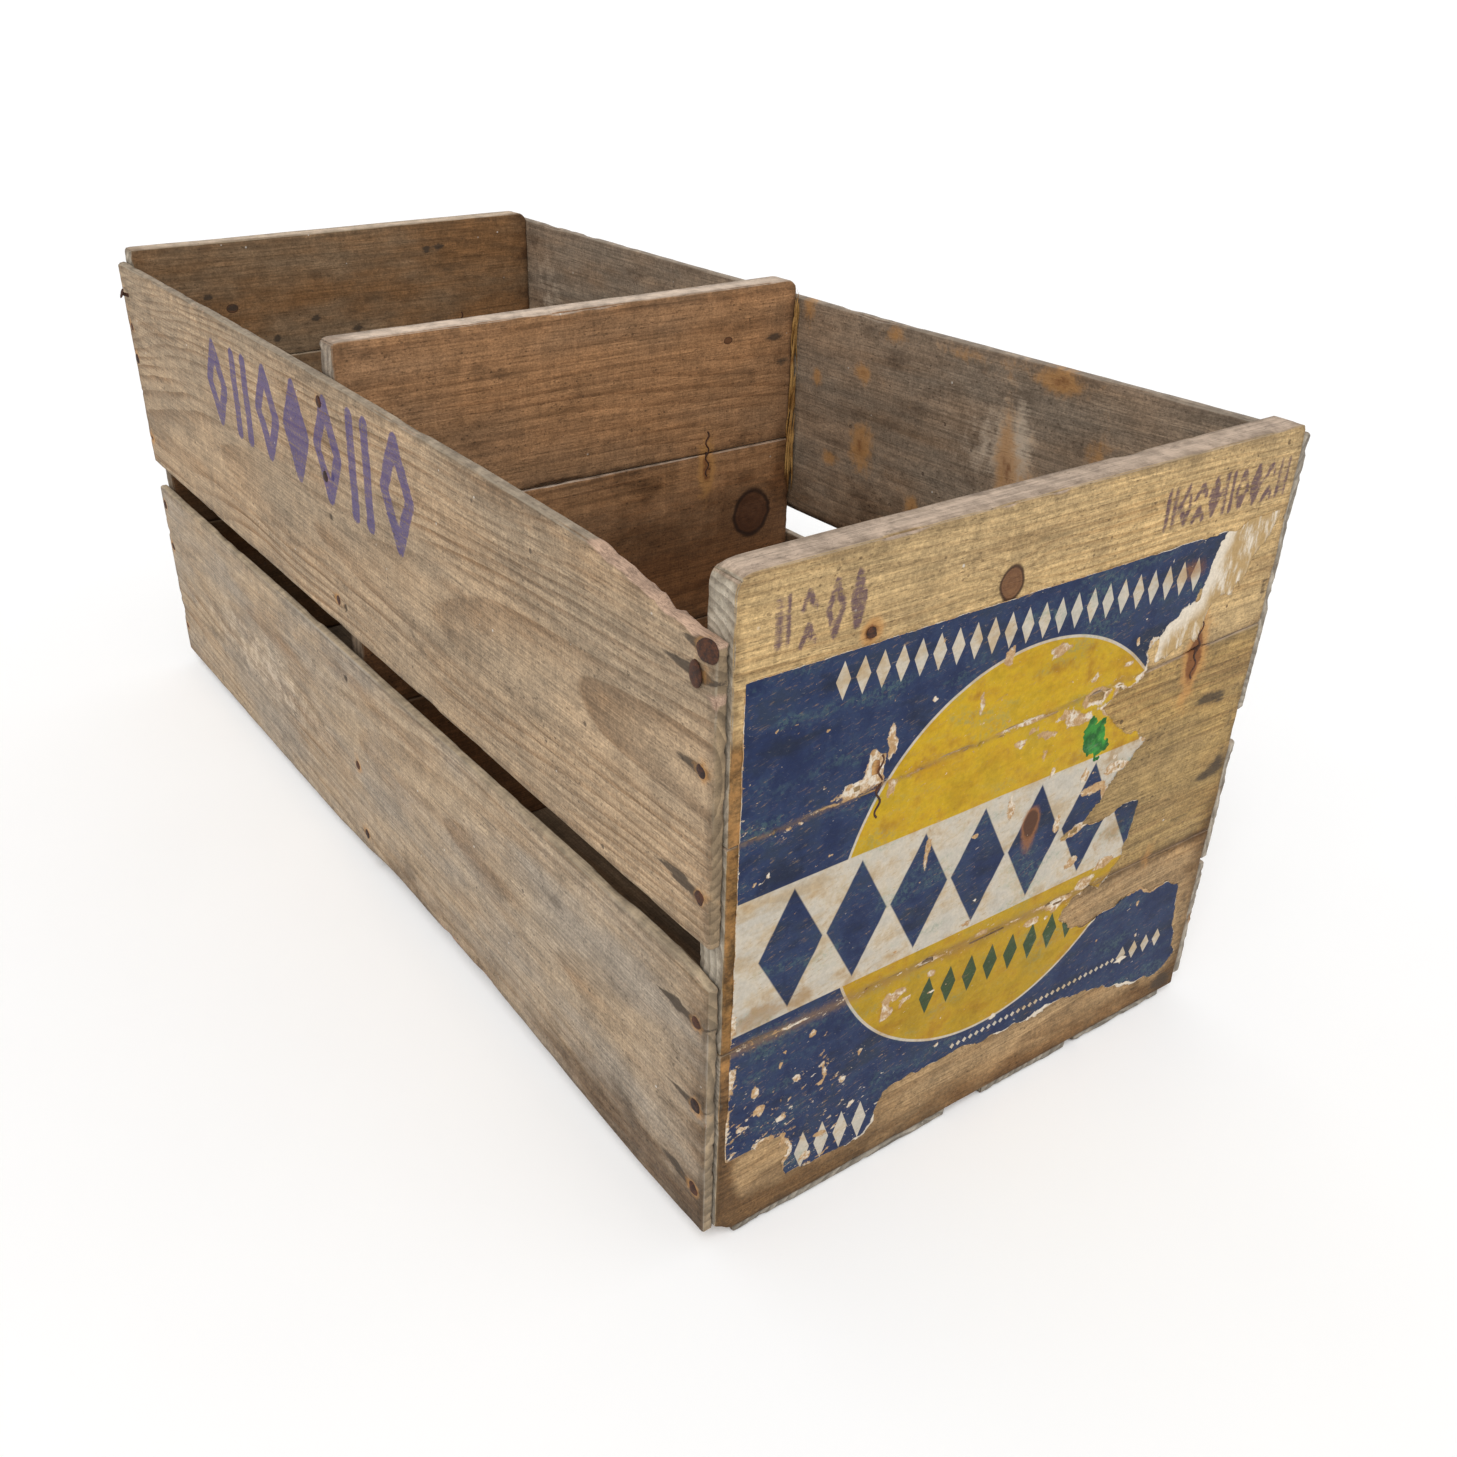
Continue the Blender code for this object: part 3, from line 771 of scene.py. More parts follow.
# Chips in the print: X, Z, half width and half height
CHIPS = [
    (-17, 247, 3.5, 5.0), (31, 204, 7.5, 3.6), (13, 202, 7.0, 3.0), (-2, 203, 5.0, 2.5),
    (-65, 94, 3.0, 5.0), (-84, 219, 7.0, 10.0), (-92, 211, 11.0, 4.0), (-76, 228, 3.5, 9.0),
    (-119, 33, 7.0, 9.0), (-128, 46, 9.0, 6.0), (-104, 26, 4.0, 4.0), (-140, 62, 4.0, 3.0),
    (-58, 31, 5.0, 4.0), (60, 158, 3.0, 4.0), (24, 100, 5.0, 2.0), (-39, 99, 3.5, 2.0),
    (-105, 98, 2.0, 2.0), (44, 172, 2.5, 4.0), (-30, 52, 2.0, 2.0), (6, 52, 3.0, 2.0),
    (43, 211, 9.0, 6.0), (57, 209, 9.0, 6.0), (24, 208, 8.0, 4.5), (68, 197, 6.0, 4.0),
    (66, 170, 9.0, 5.0), (52, 163, 8.0, 4.0), (70, 116, 9.0, 5.0), (58, 108, 8.0, 4.0),
    (40, 103, 7.0, 3.0), (-50, 166, 2.0, 11.0), (94, 90, 6.0, 4.0), (120, 84, 5.0, 3.0),
    (-97, 35, 4.0, 3.0), (-80, 44, 4.0, 3.0), (-20, 118, 3.5, 2.0), (-147, 92, 3.0, 7.0),
    (-149, 122, 3.0, 14.0), (-149, 68, 3.0, 14.0), (-55, 96, 6.0, 3.5), (-64, 88, 4.0, 4.0),
    (-2, 172, 3.0, 7.0), (12, 240, 7.0, 4.0), (-30, 230, 2.0, 8.0), (30, 150, 2.5, 8.0),
    (46, 126, 5.0, 3.0), (-10, 108, 6.0, 2.0), (-75, 205, 2.5, 8.0), (-125, 205, 3.0, 1.5),
    (76, 228, 5.0, 4.0), (60, 222, 6.0, 2.6), (38, 222, 3.0, 5.0), (14, 192, 2.0, 5.0),
    (82, 180, 5.0, 4.0), (-112, 76, 3.0, 2.0), (-96, 70, 2.0, 4.0), (-120, 58, 4.0, 2.4),
    (-86, 62, 3.0, 2.0), (-134, 80, 2.4, 4.0), (-100, 84, 3.0, 1.8), (100, 44, 5.0, 2.0),
]
FRONT_FACE = -350.0
PAPER_THICK = 0.16
BAND_LOW, BAND_HIGH = 115.5, 180.0
DISC_CENTRE, DISC_RADIUS = (0.0, 150.0), 97.0


def polygon_distance(place, outline):
    """The distance to an outline, above 0 inside it."""
    inside = np.zeros(len(place), bool)
    distance = np.full(len(place), 1e9)
    for (ax, az), (bx, bz) in zip(outline, outline[1:] + outline[:1]):
        distance = np.minimum(distance, segment_distance(place, (ax, az), (bx, bz)))
        if az != bz:
            crosses = (az > place[:, 1]) != (bz > place[:, 1])
            inside ^= crosses & (place[:, 0] < ax + (place[:, 1] - az) * (bx - ax) / (bz - az))
    return np.where(inside, distance, -distance)


def seam_level(panel, which, x):
    left, right = SEAMS[panel][which]
    return left + (right - left) * (x + HALF_WIDTH) / (2 * HALF_WIDTH)


NAVY = (0.010, 0.021, 0.074)
FADED_NAVY = (0.020, 0.035, 0.082)
LOW_YELLOW = (0.39, 0.235, 0.006)
HIGH_YELLOW = (0.49, 0.305, 0.004)
BROWNED_YELLOW = (0.32, 0.175, 0.012)
CREAM = (0.54, 0.49, 0.41)
BROWNED_CREAM = (0.43, 0.36, 0.265)
GREEN_INK = (0.035, 0.060, 0.022)
LEAF_DARK = (0.006, 0.10, 0.010)
LEAF_LIGHT = (0.035, 0.25, 0.030)
WATER_STAIN = (0.78, 0.62, 0.40)
MOULD = (0.14, 0.22, 0.18)
SOIL = (0.55, 0.40, 0.25)
WHITE_PAPER = (0.64, 0.56, 0.45)
THIN_PAPER = (0.36, 0.215, 0.10)
PALE_PAPER = (0.50, 0.335, 0.18)
BARE_WOOD = (0.40, 0.27, 0.125)


def label_material():
    g = Graph("torn printed label")
    here = g.place()
    x, _, z = g.split(here)
    grit = g.noise(here, scale=0.75, detail=4, roughness=0.7)
    mottle = g.noise(here, scale=0.07, detail=4, roughness=0.65)
    speckle = g.noise(here, scale=0.42, detail=4, roughness=0.75)

    def flat_noise(across, up, detail, roughness, layer=0.0):
        """Noise in the plane of the sheet, at a layer of its depth."""
        return g.noise(g.vector(across, layer, up), detail=detail, roughness=roughness)

    def lozenges(start, end, pitch, half_wide, middle, half_high, slope=0.0):
        """A row of filled lozenges between two places along X."""
        part = g.math("FRACT", g.math("DIVIDE", g.add(x, -start), pitch))
        over = g.times(g.math("ABSOLUTE", g.math("SUBTRACT", part, 0.5)), pitch / half_wide)
        lift = g.add(z, -middle, g.times(x, -slope))
        up = g.math("DIVIDE", g.math("ABSOLUTE", lift), half_high)
        within = g.times(g.step(x, start - 0.2, start + 0.2), g.step(x, end + 0.2, end - 0.2))
        return g.times(g.step(g.add(over, up), 1.03, 0.97), within)

    # The print: a gold disc on navy, a cream band, rows of lozenges and a leaf
    navy = g.mix(g.step(mottle, 0.3, 0.7), NAVY, FADED_NAVY)
    yellow = g.mix(g.step(z, 60.0, 215.0), LOW_YELLOW, HIGH_YELLOW)
    yellow = g.mix(g.times(g.step(mottle, 0.45, 0.75), 0.7), yellow, BROWNED_YELLOW)
    cream = g.mix(g.step(mottle, 0.35, 0.7), CREAM, BROWNED_CREAM)
    radius = g.length(g.add(x, -DISC_CENTRE[0]), g.add(z, -DISC_CENTRE[1]))
    g.colour = navy
    g.paint(cream, g.step(radius, DISC_RADIUS + 1.5, DISC_RADIUS + 1.2))
    g.paint(yellow, g.step(radius, DISC_RADIUS + 0.2, DISC_RADIUS - 0.1))
    g.paint(GREEN_INK, lozenges(-46.0, 58.0, 13.0, 4.6, 88.0, 10.5, 0.03))
    g.paint(cream, g.step(z, BAND_LOW - 0.2, BAND_LOW + 0.2), g.step(z, BAND_HIGH + 0.2, BAND_HIGH - 0.2))
    g.paint(navy, lozenges(-137.0, 101.0, 34.0, 16.0, 147.8, 29.0))
    g.paint(cream, lozenges(-108.0, 97.0, 9.4, 3.5, 257.6, 7.8, -0.025))
    g.paint(cream, lozenges(-112.0, -67.0, 11.0, 4.2, 31.0, 11.0))
    g.paint(cream, lozenges(-20.0, 100.0, 4.0, 1.5, 46.5, 1.6))
    g.paint(cream, lozenges(96.0, 132.0, 9.0, 3.2, 47.0, 5.6))
    leaf_run = g.math("DIVIDE", g.add(x, -46.0, g.times(g.add(z, -191.0), 0.3)), 8.0)
    leaf_rise = g.math("DIVIDE", g.add(z, -191.0), 11.0)
    lobes = g.noise(here, scale=0.16)
    leaf = g.add(g.times(leaf_run, leaf_run), g.times(leaf_rise, leaf_rise))
    leaf = g.add(leaf, g.swing(lobes, 3.2), g.swing(grit, 0.4))
    g.paint(g.mix(g.step(lobes, 0.4, 0.6), LEAF_DARK, LEAF_LIGHT), g.step(leaf, 1.0, 0.93))

    # Water marks and mould, wear, dirt, soaking, creases, a rust burn and scuffs
    water = flat_noise(g.times(x, 0.020), g.times(z, 0.055), 4, 0.65)
    soaked = g.tone(g.colour, WATER_STAIN)
    g.paint(soaked, g.step(water, 0.50, 0.66), 0.7)
    mouldy = g.tone(g.mix(0.5, g.colour, MOULD), (0.75, 0.85, 0.8))
    g.paint(mouldy, g.times(g.step(water, 0.49, 0.36), g.step(speckle, 0.44, 0.58)), 0.6)
    rubs = flat_noise(g.times(x, 0.35), g.times(g.add(z, g.times(x, 0.4)), 0.9), 3, 0.7)
    g.paint((0.34, 0.31, 0.26), g.step(rubs, 0.62, 0.74), 0.35)
    strokes = flat_noise(
        g.add(g.times(x, 0.10), g.times(z, 0.22)), g.add(g.times(z, 0.75), g.times(x, -0.22)), 4, 0.75, 5.0
    )
    g.paint((0.27, 0.17, 0.085), g.step(strokes, 0.56, 0.67), g.step(mottle, 0.38, 0.54), 0.6)
    soil = g.add(g.field("soil"), g.swing(mottle, 1.6), g.swing(grit, 0.5))
    g.paint(g.tone(g.colour, SOIL), g.step(soil, 0.3, 0.85), 0.75)
    shade = g.times(
        g.step(grit, 0.3, 0.7, 0.93, 1.05), g.step(mottle, 0.32, 0.66, 0.80, 1.12),
        g.step(speckle, 0.35, 0.6, 0.93, 1.04),
    )
    g.colour = g.tone(g.colour, shade)
    g.paint(soaked, g.step(mottle, 0.5, 0.72), 0.5)
    fold = g.add(g.field("fold"), g.swing(grit, 0.8))
    g.paint((0.20, 0.115, 0.05), g.step(fold, 0.3, 0.85), 0.55)
    burn = g.add(g.field("burn"), g.swing(grit, 0.35))
    g.paint((0.26, 0.10, 0.028), g.step(burn, 0.16, 0.5), 0.8)
    g.paint((0.06, 0.022, 0.010), g.step(burn, 0.42, 0.66), 0.9)
    scuff = flat_noise(g.times(x, 0.12), g.times(z, 1.3), 3, 0.6)
    g.paint((0.46, 0.42, 0.35), g.step(scuff, 0.66, 0.74), g.step(mottle, 0.42, 0.6), 0.5)

    # Paper where the print is gone: tan where it is thin, white where it is thick, nearly bare wood far out
    tan = g.mix(g.step(speckle, 0.35, 0.65), THIN_PAPER, PALE_PAPER)
    thick = g.times(g.noise(here, scale=0.10, detail=3, roughness=0.7), 0.65)
    thick = g.add(thick, g.times(speckle, 0.35), g.times(g.field("thick"), 0.25))
    fibres = g.mix(g.step(thick, 0.47, 0.58), tan, WHITE_PAPER)
    smear = flat_noise(g.times(x, 0.22), g.times(z, 0.07), 5, 0.7)
    bare = g.times(g.step(g.field("print"), -2.0, -11.0), g.step(smear, 0.36, 0.54))
    fibres = g.tone(g.mix(bare, fibres, BARE_WOOD), g.step(grit, 0.3, 0.7, 0.86, 1.08))
    edge = g.add(g.field("print"), g.swing(grit, 1.6), g.swing(speckle, 2.2), 0.25)
    flecks = flat_noise(
        g.add(g.times(x, 0.17), g.times(z, 0.10)), g.add(g.times(z, 0.36), g.times(x, -0.12)), 5, 0.72
    )
    flecks = g.step(g.add(flecks, g.times(g.field("rubbed"), 0.075)), 0.675, 0.70)
    torn = g.math("MAXIMUM", g.step(edge, 0.18, -0.18), g.times(flecks, 0.9))
    g.paint(fibres, torn)
    g.bump(g.add(g.times(grit, 0.5), g.times(scuff, 0.4), g.times(torn, -0.5)), 0.25, 0.7)
    return g.finish(g.add(0.5, g.times(torn, 0.35), g.times(mottle, 0.1)), 0.18)


def front_surface(boards, x, z):
    """How far forward the worn boards come at a place of the front."""
    hits = [tree.ray_cast(Vector((x, FRONT_FACE - 20.0, z)), Vector((0, 1, 0)), 30.0) for tree in boards]
    return min((hit[0].y for hit in hits if hit[0] is not None), default=FRONT_FACE)


def torn_label(boards):
    """The sheet that is left: a grid cut along the torn edge, lying on the worn boards."""
    cell = 1.4
    xs, zs = np.arange(-151.2, 152.8, cell), np.arange(12.0, 275.0, cell)
    grid_x, grid_z = np.meshgrid(xs, zs, indexing="ij")
    place = np.stack([grid_x.ravel(), grid_z.ravel()], 1)
    flat = np.insert(place, 1, 0.0, axis=1)
    x, z = place.T

    # The cut edges at the left and top stay straight, the others are ragged
    ragged = smooth(x, -144, -136) * np.maximum(smooth(-z, -268, -262), smooth(x, 92, 100))
    tear = 3.4 * noise(flat, 16, 41, 4) + 2.0 * noise(flat, 5, 43, 3)
    printed = polygon_distance(place, PRINT_EDGE) + ragged * tear
    printed += (1 - ragged) * 0.3 * noise(flat, 9, 45)
    backing = printed + ragged * (6.5 * np.maximum(0, noise(flat, 22, 47, 4) - 0.08) - 0.3)
    shreds = polygon_distance(place, SHREDS) + 4.0 * noise(flat, 9, 49, 4)
    shreds = np.minimum(shreds, 9 * noise(flat, (7, 1, 16), 53, 4) + 3.6)
    backing = np.maximum(backing, shreds)
    upper, lower = seam_level("front_panel", 0, x), seam_level("front_panel", 1, x)
    bite = 1.5 * noise(flat, 5, 57, 4)
    turns = np.random.default_rng(3)
    for chip_x, chip_z, half_x, half_z in CHIPS:
        # An angular chip: a seven-sided outline with uneven sides
        across, up = (x - chip_x) / half_x, (z - chip_z) / half_z
        angles = np.arange(7) * math.tau / 7 + turns.uniform(-0.3, 0.3, 7)
        reaches = turns.uniform(0.5, 1.2, 7)
        sides = [across * math.cos(a) + up * math.sin(a) - reach for a, reach in zip(angles, reaches)]
        off = np.max(sides, axis=0) * min(half_x, half_z)
        near = np.hypot(x - chip_x, z - chip_z) < 3 * max(half_x, half_z)
        printed = np.where(near, np.minimum(printed, off + bite), printed)
        if half_x + half_z > 13:
            backing = np.where(near, np.minimum(backing, off + 2.5 + 1.4 * bite), backing)
    chip_noise = noise(flat, 11, 61, 4) + 0.55 * noise(flat, 3.5, 63, 2)
    lower_left = smooth(-x, 30, 110) * smooth(-z, -112, -60)
    printed = np.minimum(printed, 9 * (0.78 - 0.30 * lower_left - chip_noise))
    near_upper, near_lower = np.abs(z - upper), np.abs(z - lower)
    crack = noise(flat, (14, 1, 4), 67, 3)
    for near in (near_upper, near_lower):
        printed = np.minimum(printed, near - 0.5 - (2.0 + 2.5 * smooth(x, 0, 60)) * crack)
        backing = np.minimum(backing, near - 0.1 - 2.2 * (crack - 0.12))

    # Keep the cells inside, and pull their outer corners in to the torn edge
    shape = grid_x.shape
    field = backing.reshape(shape)
    slope_x, slope_z = np.gradient(field, cell)
    index = np.arange(field.size).reshape(shape)
    quads = grid_quads(index)
    quads = quads[(backing[quads] > 0).sum(axis=1) >= 2]
    used, faces = np.unique(quads, return_inverse=True)
    faces = faces.reshape(-1, 4)
    steep = np.maximum(slope_x**2 + slope_z**2, 0.05)
    shift = np.clip(np.where(field < 0, -field / steep, 0), 0, 3)
    move = np.stack([(shift * slope_x).ravel(), (shift * slope_z).ravel()], 1)[used]
    move *= np.minimum(1, 0.7 * cell / np.maximum(np.linalg.norm(move, axis=1), 1e-9))[:, None]
    place = place[used] + move
    printed = printed[used]
    backing = np.maximum(backing[used], 0)
    upper, lower, near_upper, near_lower = upper[used], lower[used], near_upper[used], near_lower[used]
    x, z = place.T

    surface = np.array([front_surface(boards, px, pz) for px, pz in place])
    flat = np.insert(place, 1, 0.0, axis=1)
    curl = np.exp(-((backing / 2.6) ** 2)) * np.maximum(0, noise(flat, 9, 71, 2) - 0.15) * 1.1
    ridges = np.exp(-((near_upper / 2.2) ** 2)) + np.exp(-((near_lower / 2.2) ** 2))
    bubbles = 0.30 * np.maximum(0, noise(flat, (30, 1, 12), 73, 2))
    lift = PAPER_THICK + curl + 0.5 * ridges * np.maximum(0, noise(flat, 12, 75)) + bubbles
    front = np.stack([x, surface - lift, z], 1)
    back = front + (0, PAPER_THICK, 0)
    count = len(front)
    edges = np.concatenate([faces[:, [i, (i + 1) % 4]] for i in range(4)])
    keys = np.sort(edges, axis=1) @ (count, 1)
    _, first, times = np.unique(keys, return_index=True, return_counts=True)
    rim = edges[first[times == 1]]
    sides = np.stack([rim[:, 1], rim[:, 0], rim[:, 0] + count, rim[:, 1] + count], 1)
    faces = np.concatenate([faces, faces[:, ::-1] + count, sides])

    # Where the sheet is creased, burnt, rubbed, thick and dirty
    fold = np.exp(-np.abs(z - lower) / 4.5) + 0.8 * np.exp(-np.abs(z - upper) / 2.5)
    burn = blob(x, z, 12, 160, 4.6, 6.0)
    burn += 0.45 * blob(x, z, 12, 151, 5.5, 11.0)
    burn += 0.36 * blob(x, z, 92, 258, 13.0, 7.0)
    rubbed = smooth(-x, 20, 110) * smooth(-z, -115, -50)
    rubbed += 0.7 * np.exp(-np.abs(z - upper) / 7.0)
    rubbed += 0.7 * np.exp(-np.abs(z - lower) / 7.0)
    rubbed += 0.6 * smooth(-x, 138, 150) + 0.5 * np.exp(-np.abs(printed) / 4.0)
    thick = smooth(x, 60, 90) * smooth(z, 200, 225) + smooth(-z, -60, -40) * smooth(x, -90, -60)
    soil = 0.75 * smooth(-x, 60, 140) * np.exp(-(((z - 121) / 9.0) ** 2))
    soil += 0.5 * smooth(x, 20, 70) * smooth(z, 110, 130) * smooth(-z, -190, -170)
    soil += 0.5 * blob(x, z, 20, 236, 50, 10)
    fields = {"print": printed, "fold": fold, "burn": burn, "rubbed": rubbed, "thick": thick, "soil": soil}
    fields = {name: np.tile(values, 2) for name, values in fields.items()}
    piece = make_object("torn_paper_label", np.concatenate([front, back]), faces, label_material(), fields)
    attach(piece, "root")
    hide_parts("paper_label")
    return piece


# ---- the boards

WHICH = ("top", "middle", "bottom")
NAIL_ROWS = (-342, 0, 342)


def floor_slat(name, seed):
    low, high = cad_box(name)
    return Plank(name, "YXZ", low, high, (6.0, 3.0), 1.0, seed).wear(chips=1.2)


front = [panel_board("front_panel", "top", 11, (2.0, 1.8)).wear()]
front.append(panel_board("front_panel", "middle", 12, (2.6, 2.2)).wear())
front.append(panel_board("front_panel", "bottom", 13, (2.6, 2.2)).wear(chips=2.4))
front_top, front_middle, front_bottom = front
x, _, z = front_bottom.points.T
z += 5.5 * smooth(-x, 143, 152.5) * smooth(-z, -22, -6)
divider = [panel_board("divider", which, 14 + i).wear() for i, which in enumerate(WHICH)]
divider_top, divider_middle, divider_bottom = divider
rear = [panel_board("rear_panel", which, 17 + i).wear() for i, which in enumerate(WHICH)]
left_top = side_slat("left_slat_top", 21, (2.6, 2.0)).wear()
left_bottom = side_slat("left_slat_bottom", 22).wear()
right = [side_slat(f"right_slat_{which}", 23 + i).wear() for i, which in enumerate(WHICH)]
right_top = right[0]
floor_slats = [floor_slat(f"floor_slat_{word}", 31 + i) for i, word in enumerate(("left", "centre", "right"))]


def left_slat(z):
    """The left slat at a height."""
    return left_top if z > 155 else left_bottom


# Stencilled marks on the left side and at the top of the front
LEFT_MARKS = (
    ("lozenge", 179, 153), ("bars", 136, 112), ("lozenge", 96, 68), ("solid", 52, 24), ("lozenge", 8, -20),
    ("bars", -36, -60), ("lozenge", -77, -106),
)
FRONT_MARKS = (
    ("bars", -135, -129.5, 281, 299), ("chevrons", -124, -118, 279, 300), ("lozenge", -112.5, -106, 279, 300),
    ("solid", -102, -96, 280, 301),
)
LOT_MARKS = ("bars", "lozenge", "chevrons", "solid", "bars", "lozenge", "solid", "chevrons", "bars")
left_marks = [(kind, far, near, 238, 281 + 9 * (179 - far) / 285) for kind, far, near in LEFT_MARKS]
lot_marks = [(kind, 65 + 9.3 * i, 71.2 + 9.3 * i, 281, 297.5) for i, kind in enumerate(LOT_MARKS)]
stencil(left_top, 1, left_marks, 9.4)
stencil(front_top, 0, [*FRONT_MARKS, *lot_marks], 2.3)


def spots(planks, field, axis, level, places):
    """Spots on the face at a level of an axis: place along and up it, two half sizes, and amount."""
    for along, up, half_along, half_up, amount in places:
        point = (level, along, up) if axis == "X" else (along, level, up)
        sizes = (10, half_along, half_up) if axis == "X" else (half_along, 10, half_up)
        for plank in planks:
            plank.spot(field, point, sizes, amount)


# Grey streaks that the iron has drawn out of the wet wood beside each nail, and their rust
LEFT_FACE = -158
LEFT_NAILS = {
    -342: (284.5, 273.5, 237.0, 183.5, 123.0, 79.5, 32.0),
    0: (286.0, 247.0, 178.0, 72.6, 24.6),
    342: (260.5, 238.0, 181.5, 131.0, 98.0, 32.0),
}
for y, levels in LEFT_NAILS.items():
    reach_share, amount = (1.3, 1.15) if y < -300 else (0.7, 0.8)
    for number, z in enumerate(levels):
        reach = 13 + 7 * ((number * 5) % 3)
        left_slat(z).streak((LEFT_FACE, y, z), reach * reach_share, 3.4, amount)
        left_slat(z).spot("rust", (LEFT_FACE, y, z), (9, 5.4, 4.8), 0.4 if z > 270 and y < 0 else 0.62)
for y, z, reach in ((-331, 186, 26), (-329, 124, 14), (-330, 35, 24)):
    left_slat(z).streak((LEFT_FACE, y, z), reach, 3.6, 1.0)
left_top.spot("fresh", (-157, -348, 267), (6, 7, 3), 0.9)
for y, z in ((0, 224.8), (-9, 249), (4, 128), (-9, 176)):
    left_slat(z).dimple((LEFT_FACE, y, z), 1.9, 2.4).spot("iron", (LEFT_FACE, y, z), (6, 2.6, 2.4), 1.4)

spots(front, "iron", "Y", -350, (
    (122, 187, 14, 3.6, 0.9), (134, 184, 6, 5, 0.5), (136, 141, 15, 4.0, 0.85), (146, 146, 8, 5, 0.5),
    (124, 122, 18, 4.5, 0.6), (140, 12, 14, 8, 0.8), (148, 240, 4, 20, 0.5), (146, 170, 5, 30, 0.5),
    (100, 158, 14, 3, 0.4), (-148, 285, 4, 14, 0.3), (130, 215, 12, 3, 0.6), (145, 60, 6, 30, 0.5),
))
spots(front, "rust", "Y", -350, (
    (-81, 216, 5, 14, 1.0), (106, 213, 5, 17, 1.1), (107, 214, 11, 22, 0.35), (-92, 276, 5, 5, 1.0),
    (-75, 106, 5, 10, 0.5), (104, 106, 5, 10, 0.4),
))
for board in (divider_top, divider_middle):
    board.spot("rust", (84, -8, 212), (6, 12, 18), 0.9)
REAR_SPOTS = ((-105, 275), (-89, 266), (-59, 241), (-28, 252), (4, 241), (65, 292), (76, 293))
spots(rear[:1], "iron", "Y", 334, [(x, z, 4.5, 3.0, 1.1) for x, z in REAR_SPOTS])
DIVIDER_SPOTS = ((133, 284, 6), (104, 290, 2), (-115, 297, 2), (9, 306, 1.5), (140, 268, 5), (84, 246, 2))
spots(divider[:1], "iron", "Y", -8, [(x, z, size * 1.6, size * 0.7, 0.8) for x, z, size in DIVIDER_SPOTS])
spots([right_top], "rust", "X", 153, (
    (-73, 229, 10, 15, 0.8), (-71, 273, 8, 5, 0.7), (-187, 250, 6.5, 30, 0.62), (-200, 236, 18, 34, 0.3),
    (-217, 300, 16, 7, 0.8), (-120, 205, 5, 9, 0.7), (-30, 262, 5, 7, 0.7), (-45, 215, 6, 5, 0.7),
    (-95, 300, 9, 6, 0.6), (-20, 300, 6, 14, 0.6), (-150, 300, 30, 5, 0.4), (-245, 270, 9, 14, 0.4),
))
PALE_PATCHES = ((-194, 250, 10, 40, 0.9), (-170, 255, 34, 30, 0.6), (300, 250, 30, 50, 0.5))
spots([right_top], "pale", "X", 153, PALE_PATCHES)
# Those rust stains and pale patches are on its inner face only
for field in ("rust", "pale"):
    right_top.fields[field] *= 1 - right_top.face("X", 1)
for y in NAIL_ROWS:
    for z in (245, 128, 46):
        for slat in right:
            slat.spot("iron", (158, y, z), (9, 20, 5), 0.7).spot("rust", (158, y, z), (9, 6, 5), 0.8)

# Grime and painted shade: grime along the foot of the front and down its left edge, and painted shade low
# down on the inner faces and in the corners of the two compartments
for board in front:
    x, _, z = board.points.T
    outside = board.face("Y", -1)
    left_edge = smooth(-x, 138, 149)
    board.fields["rust"] += 0.28 * outside * left_edge * smooth(-z, -262, -240) * smooth(z, 60, 110)
    grime_and_shade = (0.9 + 0.4 * smooth(-x, 60, 150)) * smooth(-z, -34, -6)
    grime_and_shade += left_edge * smooth(-z, -266, -236)
    grime_and_shade += 0.55 * smooth(x, 132, 152) * smooth(-z, -215, -120)
    grime_and_shade += 0.6 * np.exp(-np.abs(z - seam_level("front_panel", 1, x)) / 9.0)
    board.fields["grime_and_shade"] += outside * grime_and_shade
for board in (*divider, *rear):
    x, y, z = board.points.T
    inner = y < 345
    # Painted shade on the faces inside the compartments, darker low down and towards the corners; the rear's
    # outer face gets grime low down and at its sides
    board.fields["grime_and_shade"] += inner * (0.95 * smooth(-z, -262, -120) + 0.4 * smooth(np.abs(x), 128, 152) + 0.1)
    board.fields["grime_and_shade"] += ~inner * (0.8 * smooth(-z, -60, -8) + 0.5 * smooth(np.abs(x), 138, 152))
for slat in (left_top, left_bottom, *right):
    x, y, z = slat.points.T
    outward = -1 if slat.low[0] < 0 else 1
    # Painted shade on the slats' inner faces, darker low down
    slat.fields["grime_and_shade"] += slat.face("X", -outward) * (0.2 + smooth(-z, -230, -120))
    slat.fields["grime_and_shade"] += slat.face("X", outward) * 0.3 * smooth(np.abs(y), 325, 349)
x, y, z = left_bottom.points.T
low_grime = 0.25 * smooth(-y, 180, 300) + 0.45 * smooth(-z, -60, -20) * smooth(-y, -80, 60)
left_bottom.fields["grime_and_shade"] += left_bottom.face("X", -1) * low_grime
left_bottom.fields["pale"] += 0.52 * blob(y, z, 150, 75, 130, 30)
front_top.dimple((-21.5, -350, 278), 8.0, 0.5)
divider_middle.dimple((121, -8, 175), 13.0, 0.6)

